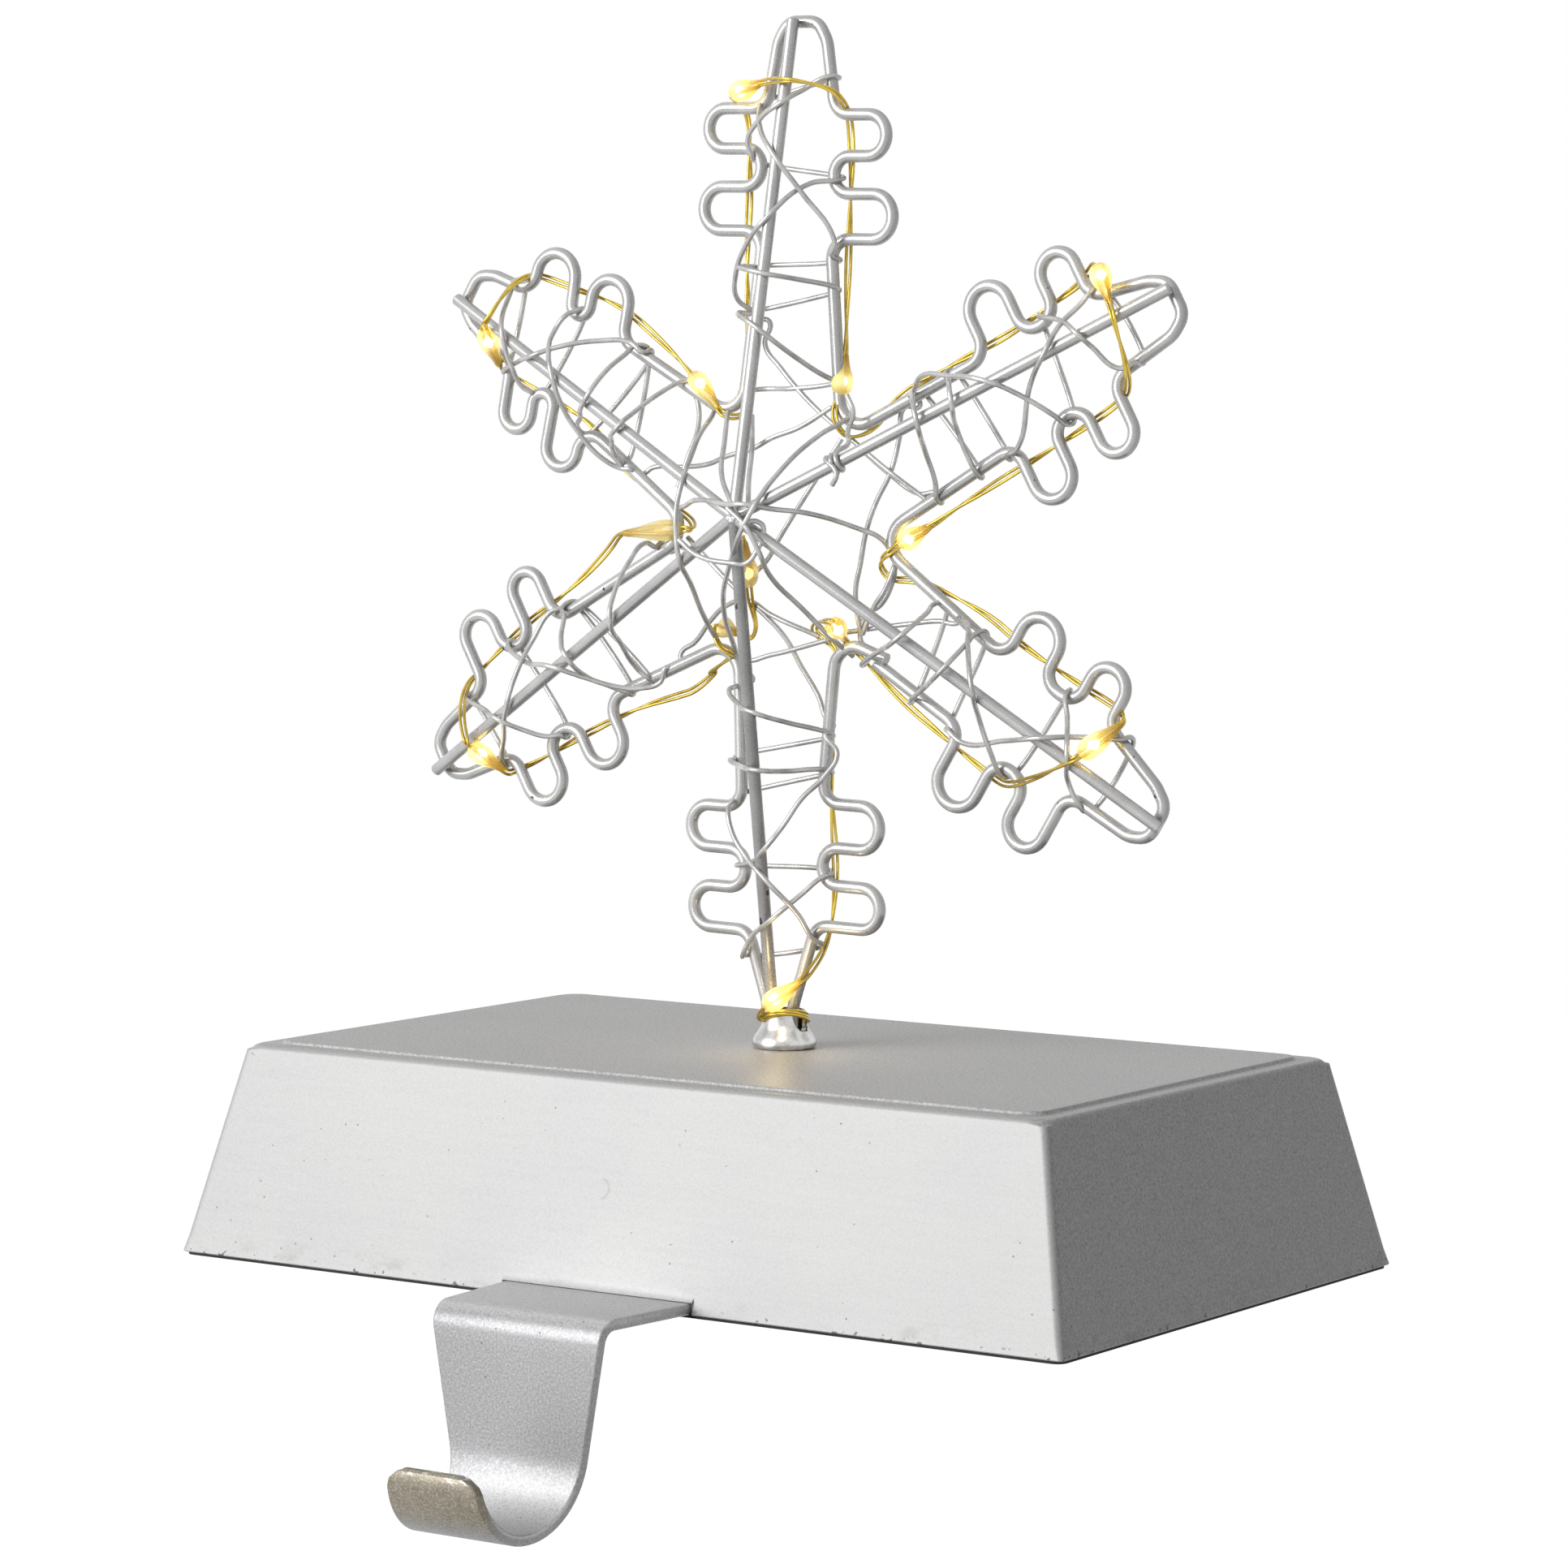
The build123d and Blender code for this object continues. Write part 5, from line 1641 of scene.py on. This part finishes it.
    def build(self, paint: Material, shaded_and_worn: Material, bright: Material) -> None:
        """Build and settle outline, spokes and binding.

        Args:
            paint: Finish of the thick wire.
            shaded_and_worn: Finish of the spoke that runs down into the foot: the wire paint in darker
                colours, painted shade, with more chips.
            bright: Finish of the binding.
        """
        bent = tube_tree("bent_wire", True)
        smooth = tube_tree("laid_wire", False)
        corners = self.outline()
        radii = [radius * MM for _, radius in corners]
        path = path_curve("outline_path", Lay.STRAIGHT, [[place for place, _ in corners]], radii)
        settle(bent.run(path, "bent_outline", self.wire.values(paint)), "wire_paint", "snowflake_outline")
        shares = [self.bevel_share, 1.0, 1.0, self.bevel_share]
        for index in range(len(self.arms)):
            inner, outer = self.spoke_ends(index)
            bevel = (outer - inner).normalized() * self.bevel * MM
            points = [inner, inner + bevel, outer - bevel, outer]
            path = path_curve("spoke_path", Lay.STRAIGHT, [points], shares)
            # The foot's spoke takes the darker paint: painted shade.
            values = self.rod.values(shaded_and_worn if index == self.foot else paint)
            settle(smooth.run(path, f"spoke_rod_{index + 1}", values), "wire_paint", f"spoke_{index + 1}")
        for index, arm in enumerate(self.arms):
            strands = [self.winding_points(arm)]
            strands.extend([self.sight(0.0, point) for point in tail] for tail in arm.winding.tails)
            if index == self.tied:
                strands.append(self.tied_end())
            path = path_curve("thread_path", Lay.THROUGH, strands)
            piece = smooth.run(path, f"wound_thread_{index + 1}", self.thread.values(bright))
            settle(piece, "binding_wire", f"binding_{index + 1}")


@dataclass(frozen=True)
class LightString:
    """Gold twin wire with moulded lamps. Sizes in millimetres.

    Attributes:
        flake: The snowflake that carries it.
        lead: One of its two wires.
        pair: Spacing of the two.
        twist: Length of one turn of the pair.
        lamp: Length and diameter of a lamp.
        shell: Share of that diameter at each share of the length.
        chip: The same for the chip in it.
        flatter: How much flatter the tapered end of a lamp is.
        lamp_sides: Number of flats round a lamp.
        rise: Its way up out of the base.
        coil: Radius and height of the turns round the bell, and how far they ride up in front.
        coil_fall: Where the turns start above that height, and how far they fall with each eighth.
        coil_steps: Number of points on the turns.
        facing: Direction in which they ride up, in degrees.
        straight: How far the straight stretch at each end of a lamp stands out, and goes in.
        foot_lamp: The lamp in front of the bell.
        order: The arms in the order in which it is laid.
        last_bend: Its way round the last crotch, in the upright frame.
        last_lamps: The two lamps there.
        between: Its way between them.
    """

    flake: Snowflake
    lead: Gauge = Gauge(0.44, 8, 0.4)
    pair: float = 0.62
    twist: float = 34.0
    lamp: tuple[float, float] = (5.8, 3.0)
    shell: Profile = (
        (0.0, 0.2), (0.015, 0.42), (0.05, 0.66), (0.12, 0.86), (0.2, 0.97), (0.29, 1.0), (0.39, 0.96),
        (0.5, 0.84), (0.62, 0.66), (0.74, 0.5), (0.85, 0.4), (0.94, 0.34), (1.0, 0.22),
    )
    chip: Profile = (
        (0.2, 0.06), (0.215, 0.2), (0.25, 0.31), (0.31, 0.35), (0.37, 0.31), (0.405, 0.2), (0.42, 0.06),
    )
    flatter: float = 0.12
    lamp_sides: int = 18
    rise: Trace = ((0.0, 4.2, 22.5), (0.0, 2.1, 24.6), (0.0, 2.1, 35.4))
    coil: Point = (3.42, 32.8, 1.5)
    coil_fall: tuple[float, float] = (0.55, 0.055)
    coil_steps: int = 14
    facing: float = -56.0
    straight: tuple[float, float] = (0.6, 1.4)
    foot_lamp: Lamp = Lamp((2.6, 64.3, -4.6), (-3.3, 60.2, -3.6))
    order: tuple[int, ...] = (2, 1, 0, 5, 4)
    last_bend: Trace = (
        (-13.6, -19.2, 1.0), (-10.4, -17.1, 0.4), (-9.2, -16.4, -1.2), (-11.6, -15.6, -1.6),
        (-12.6, -13.6, -1.4),
    )
    last_lamps: tuple[Lamp, Lamp] = (
        Lamp((-12.0, -12.4, -1.2), (-8.4, -13.6, 0.8), False, 0.06),
        Lamp((-6.9, -6.9, -3.0), (-7.7, -0.9, -7.5), False, 0.2),
    )
    between: Trace = ((-6.3, -14.2, 1.2), (-5.6, -12.6, 1.0), (-6.0, -11.0, 0.4), (-6.6, -9.2, -1.0))

    def route(self) -> tuple[list[Vector], list[Stretch]]:
        """The pair's middle line and the stretches that carry a lamp.

        Returns:
            Points in metres, and blunt end, tapered end and brightness of each lamp.
        """
        flake = self.flake
        points = [Vector(place) * MM for place in self.rise]
        lamps: list[Stretch] = []

        def carry(angle: float, lamp: Lamp) -> None:
            """Add a stretch with a lamp."""
            start, end = flake.sight(angle, lamp.start), flake.sight(angle, lamp.end)
            ends = (end, start) if lamp.blunt_last else (start, end)
            lamps.append((*ends, lamp.lit))
            run = (end - start).normalized() * MM
            out, into = self.straight
            points.extend((start - run * out, start + run * into, end - run * into, end + run * out))

        def follow(angle: float, trace: Trace) -> None:
            """Add a bare stretch."""
            points.extend(flake.sight(angle, point) for point in trace)

        radius, level, ride_up = self.coil
        start, fall = self.coil_fall
        for step in range(self.coil_steps):
            turn = math.radians(90.0 - 45.0 * step)
            front = max(math.cos(turn - math.radians(self.facing)), 0.0)
            height = level + ride_up * front + start - fall * step
            points.append(Vector((math.cos(turn) * radius, math.sin(turn) * radius, height)) * MM)
        foot = flake.arms[flake.foot].angle
        carry(foot, self.foot_lamp)
        follow(foot, FOOT_STRING)
        for arm in (flake.arms[index] for index in self.order):
            follow(arm.angle, arm.string.enter)
            carry(arm.angle, arm.string.root)
            follow(arm.angle, arm.string.out)
            carry(arm.angle, arm.string.crown)
            follow(arm.angle, arm.string.back)
        follow(0.0, self.last_bend)
        carry(0.0, self.last_lamps[0])
        follow(0.0, self.between)
        carry(0.0, self.last_lamps[1])
        return points, lamps

    def twin(self, line: Sequence[Vector], turn_start: float) -> list[Vector]:
        """One wire of the pair, wound slowly about the middle line.

        Args:
            line: Points of the middle line in metres.
            turn_start: Angle at which it starts, in degrees.

        Returns:
            Points in metres.
        """
        strand = []
        side = Vector((1, 0, 0))
        run = 0.0
        for index, place in enumerate(line):
            before, after = line[max(index - 1, 0)], line[min(index + 1, len(line) - 1)]
            ahead = (after - before).normalized()
            side = (side - ahead * side.dot(ahead)).normalized()
            other = ahead.cross(side)
            run += (place - before).length / MM
            turn = math.radians(turn_start) + math.tau * run / self.twist
            strand.append(place + (side * math.cos(turn) + other * math.sin(turn)) * self.pair / 2 * MM)
        return strand

    def drop(self) -> Piece:
        """One lamp, upright at the origin: a resin drop round a chip, with its own map along and round it.

        Returns:
            The lamp's object.
        """
        length, wide = self.lamp
        sides = self.lamp_sides
        mesh = bpy.data.meshes.new("lamp_drop_one")
        work = bmesh.new()
        layer = work.loops.layers.uv.new("drop")
        for profile, level in ((self.shell, 0.0), (self.chip, 2.0)):
            rows = []
            for share, thick in profile:
                reach = thick * wide / 2
                flat = reach * (1.0 - self.flatter * share)
                ring = []
                for out_x, out_y in arc(0.0, 360.0, sides)[:-1]:
                    place = Vector((out_x * reach, out_y * flat, (share - 0.5) * length))
                    ring.append(work.verts.new(place * MM))
                rows.append(ring)
            heights = [share for share, _ in profile]
            for low, high, rise, next_rise in zip(rows, rows[1:], heights, heights[1:]):
                for step in range(sides):
                    after = (step + 1) % sides
                    face = work.faces.new((low[step], low[after], high[after], high[step]))
                    rises = (rise, rise, next_rise, next_rise)
                    for loop, up, around in zip(face.loops, rises, (step, step + 1, step + 1, step)):
                        loop[layer].uv = (around / sides, up + level)
            for ring, rise in ((list(reversed(rows[0])), 0.0), (rows[-1], 1.0)):
                for loop in work.faces.new(ring).loops:
                    loop[layer].uv = (0.5, rise + level)
        work.to_mesh(mesh)
        work.free()
        return put(mesh)

    def lamps(self, stretches: Sequence[Stretch], finish: Material) -> Piece:
        """All lamps, one on each stretch.

        Args:
            stretches: Blunt end, tapered end and brightness of each lamp.
            finish: Their finish.

        Returns:
            The lamps as one piece.
        """
        tree = GeoTree("lamps_on_string", {"Lamp": "NodeSocketObject", "Material": "NodeSocketMaterial"})
        vector = {"data_type": "FLOAT_VECTOR"}
        shape = tree.node("GeometryNodeObjectInfo", {}, {"Object": tree.given["Lamp"]})
        aim = tree.node("GeometryNodeInputNamedAttribute", vector, {"Name": "aim"})
        turn = tree.node("FunctionNodeAlignRotationToVector", {"axis": "Z"}, {"Vector": aim.outputs[0]})
        size = tree.node("GeometryNodeInputNamedAttribute", vector, {"Name": "size"})
        sockets = {
            "Points": tree.given["Geometry"],
            "Instance": shape.outputs["Geometry"],
            "Rotation": turn.outputs[0],
            "Scale": size.outputs[0],
        }
        tree.close(tree.node("GeometryNodeInstanceOnPoints", {}, sockets).outputs[0])
        mesh = bpy.data.meshes.new("lamp_places")
        mesh.from_pydata([(blunt + taper) / 2 for blunt, taper, _ in stretches], [], [])
        for name, kind in (("aim", "FLOAT_VECTOR"), ("size", "FLOAT_VECTOR"), ("lit", "FLOAT")):
            mesh.attributes.new(name, kind, "POINT")
        for number, (blunt, taper, lit) in enumerate(stretches):
            run = taper - blunt
            mesh.attributes["aim"].data[number].vector = run.normalized()
            mesh.attributes["size"].data[number].vector = (1.0, 1.0, run.length / (self.lamp[0] * MM))
            mesh.attributes["lit"].data[number].value = lit
        one = self.drop()
        one.data.materials.append(finish)
        piece = tree.run(put(mesh), "lit_drops", {"Lamp": one, "Material": finish})
        bpy.data.objects.remove(one)
        return piece

    def build(self, gold: Material, lit: Material) -> None:
        """Build and settle the string.

        Args:
            gold: Finish of the wires.
            lit: Finish of the lamps.
        """
        points, stretches = self.route()
        line = along(path_curve("string_path", Lay.NEAR, [points]))
        smooth = tube_tree("string_wire", False)
        for letter, turn in (("a", 0.0), ("b", 180.0)):
            path = path_curve("gold_path", Lay.STRAIGHT, [self.twin(line, turn)])
            piece = smooth.run(path, f"gold_strand_{letter}", self.lead.values(gold))
            settle(piece, "gold_wire", f"light_wire_{letter}")
        nodes = [f"lamp_{number + 1:02d}" for number in range(len(stretches))]
        settle(self.lamps(stretches, lit), "lamp_drop", *nodes)


@dataclass(frozen=True)
class Stage:
    """Camera, floor and light. Lengths in metres.

    Attributes:
        eye: Place of the camera.
        yaw: Turn of its view to the left of straight back, in degrees.
        pitch: Fall of its view, in degrees.
        roll: Tilt of its frame, in degrees.
        lens: Focal length in millimetres.
        sensor: Width of its sensor in millimetres.
        shift: Shift of its frame.
        floor: Height of the floor.
        floor_half: Half width of the floor.
        grey: Colour of the floor.
        pale: Colour that the floor shows to the eye.
        level: Strength of the light from all round.
        aim: Where the studio lamps point.
        glow_colour: Colour of the foot lamp's light.
        glow_radius: Radius of its source.
    """

    eye: Point = EYE
    yaw: float = 34.2125
    pitch: float = 4.398
    roll: float = 0.23
    lens: float = 117.95
    sensor: float = 36.0
    shift: tuple[float, float] = (0.0206, 0.0017)
    floor: float = -0.75
    floor_half: float = 6.0
    grey: Colour = (0.3, 0.3, 0.3)
    pale: Colour = (0.95, 0.95, 0.95)
    level: float = 0.09
    aim: Point = (0.0, 0.0, 0.06)
    glow_colour: Colour = (1.0, 0.74, 0.38)
    glow_radius: float = 0.002

    def camera(self) -> None:
        """Set up the camera at the photograph's place."""
        yaw, pitch = math.radians(self.yaw), math.radians(self.pitch)
        ahead = Vector((-math.sin(yaw) * math.cos(pitch), math.cos(yaw) * math.cos(pitch), -math.sin(pitch)))
        right = Vector((math.cos(yaw), math.sin(yaw), 0))
        up = right.cross(ahead)
        turn = math.radians(self.roll)
        side = right * math.cos(turn) + up * math.sin(turn)
        upright = up * math.cos(turn) - right * math.sin(turn)
        data = bpy.data.cameras.new("camera")
        data.lens = self.lens
        data.sensor_width = self.sensor
        data.shift_x, data.shift_y = self.shift
        data.clip_start = 0.01
        camera = put(data)
        axes = Matrix((side, upright, -ahead)).transposed().to_4x4()
        camera.matrix_world = Matrix.Translation(Vector(self.eye)) @ axes
        bpy.context.scene.camera = camera

    def white_to_eye(self, nodes: Nodes) -> Signal:
        """1 for rays that look at the background straight, in a reflection or through glass."""
        path = nodes.node("ShaderNodeLightPath").outputs
        rays = ("Is Camera Ray", "Is Glossy Ray", "Is Transmission Ray")
        straight, mirrored, through = (Signal(nodes, path[name]) for name in rays)
        return straight.above(mirrored).above(through)

    def ground(self) -> None:
        """Lay a wide pale floor well below the object."""
        mesh = bpy.data.meshes.new("floor")
        signs = ((-1, -1), (1, -1), (1, 1), (-1, 1))
        corners = [(x * self.floor_half, y * self.floor_half, self.floor) for x, y in signs]
        mesh.from_pydata(corners, [], [(0, 1, 2, 3)])
        recipe = Recipe("floor_white")
        light = recipe.mix(self.white_to_eye(recipe), (0.0, 0.0, 0.0), self.pale)
        sockets = {"Base Color": self.grey, "Roughness": 0.9, "Emission Color": light}
        mesh.materials.append(recipe.dress({**sockets, "Emission Strength": 1.0}))
        put(mesh)

    def world(self) -> None:
        """Set up white surroundings that light the object softly."""
        world = bpy.data.worlds.new("studio")
        world.use_nodes = True
        bpy.context.scene.world = world
        nodes = Nodes(world.node_tree)
        strength = self.level + self.white_to_eye(nodes) * (1.0 - self.level)
        sky = nodes.node("ShaderNodeBackground", {}, {"Color": (1.0, 1.0, 1.0), "Strength": strength})
        nodes.node("ShaderNodeOutputWorld", {}, {"Surface": sky.outputs[0]})

    def lamp(self, name: str, place: Point, size: float, power: float, mirrored: bool) -> None:
        """Hang one square studio lamp.

        Args:
            name: Its name.
            place: Where it hangs.
            size: Its width.
            power: Its power in watts.
            mirrored: Whether shiny surfaces show it.
        """
        data = bpy.data.lights.new(name, "AREA")
        data.size = size
        data.energy = power
        lamp = put(data)
        lamp.visible_glossy = mirrored
        lamp.location = place
        lamp.rotation_euler = (Vector(self.aim) - Vector(place)).to_track_quat("-Z", "Y").to_euler()

    def glow(self, place: Point, power: float) -> None:
        """Place the warm light that the foot's lamp throws on the panel, with its power in watts."""
        data = bpy.data.lights.new("foot_lamp_glow", "POINT")
        data.shadow_soft_size = self.glow_radius
        data.color = self.glow_colour
        data.energy = power
        put(data).location = place

    def build(self) -> None:
        """Set up the whole stage."""
        self.camera()
        self.ground()
        self.world()
        self.lamp("key", (-0.68, -1.28, 0.54), 1.0, 20.4, True)
        self.lamp("back_fill", (-0.15, 1.5, 0.16), 0.9, 5.0, False)
        self.glow((0.004, -0.009, 0.0395), 0.0016)
        bpy.context.scene.view_settings.view_transform = "Standard"


ALONG_X = (0.2, 1.0, 1.0)
ALONG_CELL = (0.15, 1.0, 1.0)
CARRIED_OVER = {
    "pad_rubber": Moulding(
        "pad_rubber_black", (0.018, 0.017, 0.017), (0.03, 0.029, 0.028), 1.5, 0.0, 0.8, 0.04
    ),
    "floor_steel": Moulding(
        "floor_steel_rolled", (0.42, 0.42, 0.43), (0.33, 0.33, 0.34), 8.0, 0.8, 0.42, 0.02, ALONG_X
    ),
    "iron": Moulding(
        "ballast_iron_cast", (0.09, 0.088, 0.086), (0.14, 0.12, 0.105), 2.5, 0.5, 0.7, 0.12
    ),
    "black_plastic": Moulding(
        "plastic_black_moulded", (0.022, 0.022, 0.023), (0.034, 0.034, 0.035), 1.2, 0.0, 0.45, 0.03
    ),
    "cell_wrap": Moulding(
        "cell_wrap_foil", (0.16, 0.165, 0.17), (0.22, 0.22, 0.225), 6.0, 0.3, 0.32, 0.015, ALONG_CELL
    ),
    "contact_steel": Moulding(
        "contact_steel_bright", (0.66, 0.655, 0.64), (0.52, 0.515, 0.5), 2.0, 1.0, 0.28, 0.01
    ),
    "screw_steel": Moulding(
        "screw_steel_zinc", (0.58, 0.585, 0.6), (0.45, 0.45, 0.46), 1.2, 1.0, 0.34, 0.015
    ),
    "terminal_brass": Moulding(
        "terminal_brass_bright", (0.68, 0.5, 0.2), (0.5, 0.36, 0.14), 1.0, 1.0, 0.32, 0.01
    ),
}


def carry_over(frame: dict[str, Any], gold: Material) -> None:
    """Dress the nodes that keep their own shape.

    Args:
        frame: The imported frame.
        gold: Finish of the light string's wires, for the jumper.
    """
    finishes = {slot: finish.make() for slot, finish in CARRIED_OVER.items()}
    finishes["gold_wire"] = gold
    for name, node in frame["nodes"].items():
        for slot in node.material_slots:
            if slot.material and slot.material.name in finishes:
                slot.material = finishes[slot.material.name]
                LOG.info("%s takes its finish", name)


def main() -> None:
    """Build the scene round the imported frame."""
    logging.basicConfig(level=logging.INFO, format="%(message)s")
    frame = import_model()
    hook = Hook()
    paint = SilverPaint("base_silver_paint", end_grain=2.5, streak=0.09, scuff=(-1.5, 14.8, 1.4)).make()
    # The hook's paint carries painted light on the strap's top and inside the curl.
    hook_paint = SilverPaint(
        "hook_silver_paint", (0.4, 0.4, 0.407), (0.365, 0.365, 0.372), grain=1.3, grain_size=0.3,
        metallic=0.55, rough=0.48, warm=0.92, peel=0.015, curl=hook.curl_place(),
    ).make()
    wire_paint = SilverPaint(
        "wire_silver_paint", (0.64, 0.64, 0.636), (0.53, 0.53, 0.53), 6.0, 0.16, speck=3.0, speck_share=0.06,
        chip=0.74, metallic=0.37, rough=0.26, peel=0.002,
    ).make()
    # Painted shade: the spoke that runs down into the foot gets darker wire paint, with more chips for wear.
    spoke_wear_and_shade_paint = SilverPaint(
        "spoke_worn_paint", (0.42, 0.42, 0.418), (0.33, 0.33, 0.33), 6.0, 0.3, speck=3.0, speck_share=0.06,
        chip=0.68, metallic=0.3, rough=0.28, peel=0.002,
    ).make()
    bright = DrawnWire("binding_bright_wire", (0.68, 0.675, 0.67), (0.5, 0.495, 0.49), 0.46, 0.27).make()
    plate = DrawnWire("bell_bright_plate", (0.68, 0.678, 0.67), (0.36, 0.358, 0.352), 0.95, 0.26).make()
    gold = DrawnWire("string_gold_lacquer", (0.7, 0.51, 0.075), (0.48, 0.33, 0.04), 0.85, 0.28, 0.4).make()
    lit = GlowingDrop("lamp_lit_resin").make()
    Base().build(paint)
    hook.build(hook_paint)
    Ferrule().build(plate)
    flake = Snowflake()
    flake.build(wire_paint, spoke_wear_and_shade_paint, bright)
    LightString(flake).build(gold, lit)
    carry_over(frame, gold)
    Stage().build()


if __name__ == "__main__":
    main()
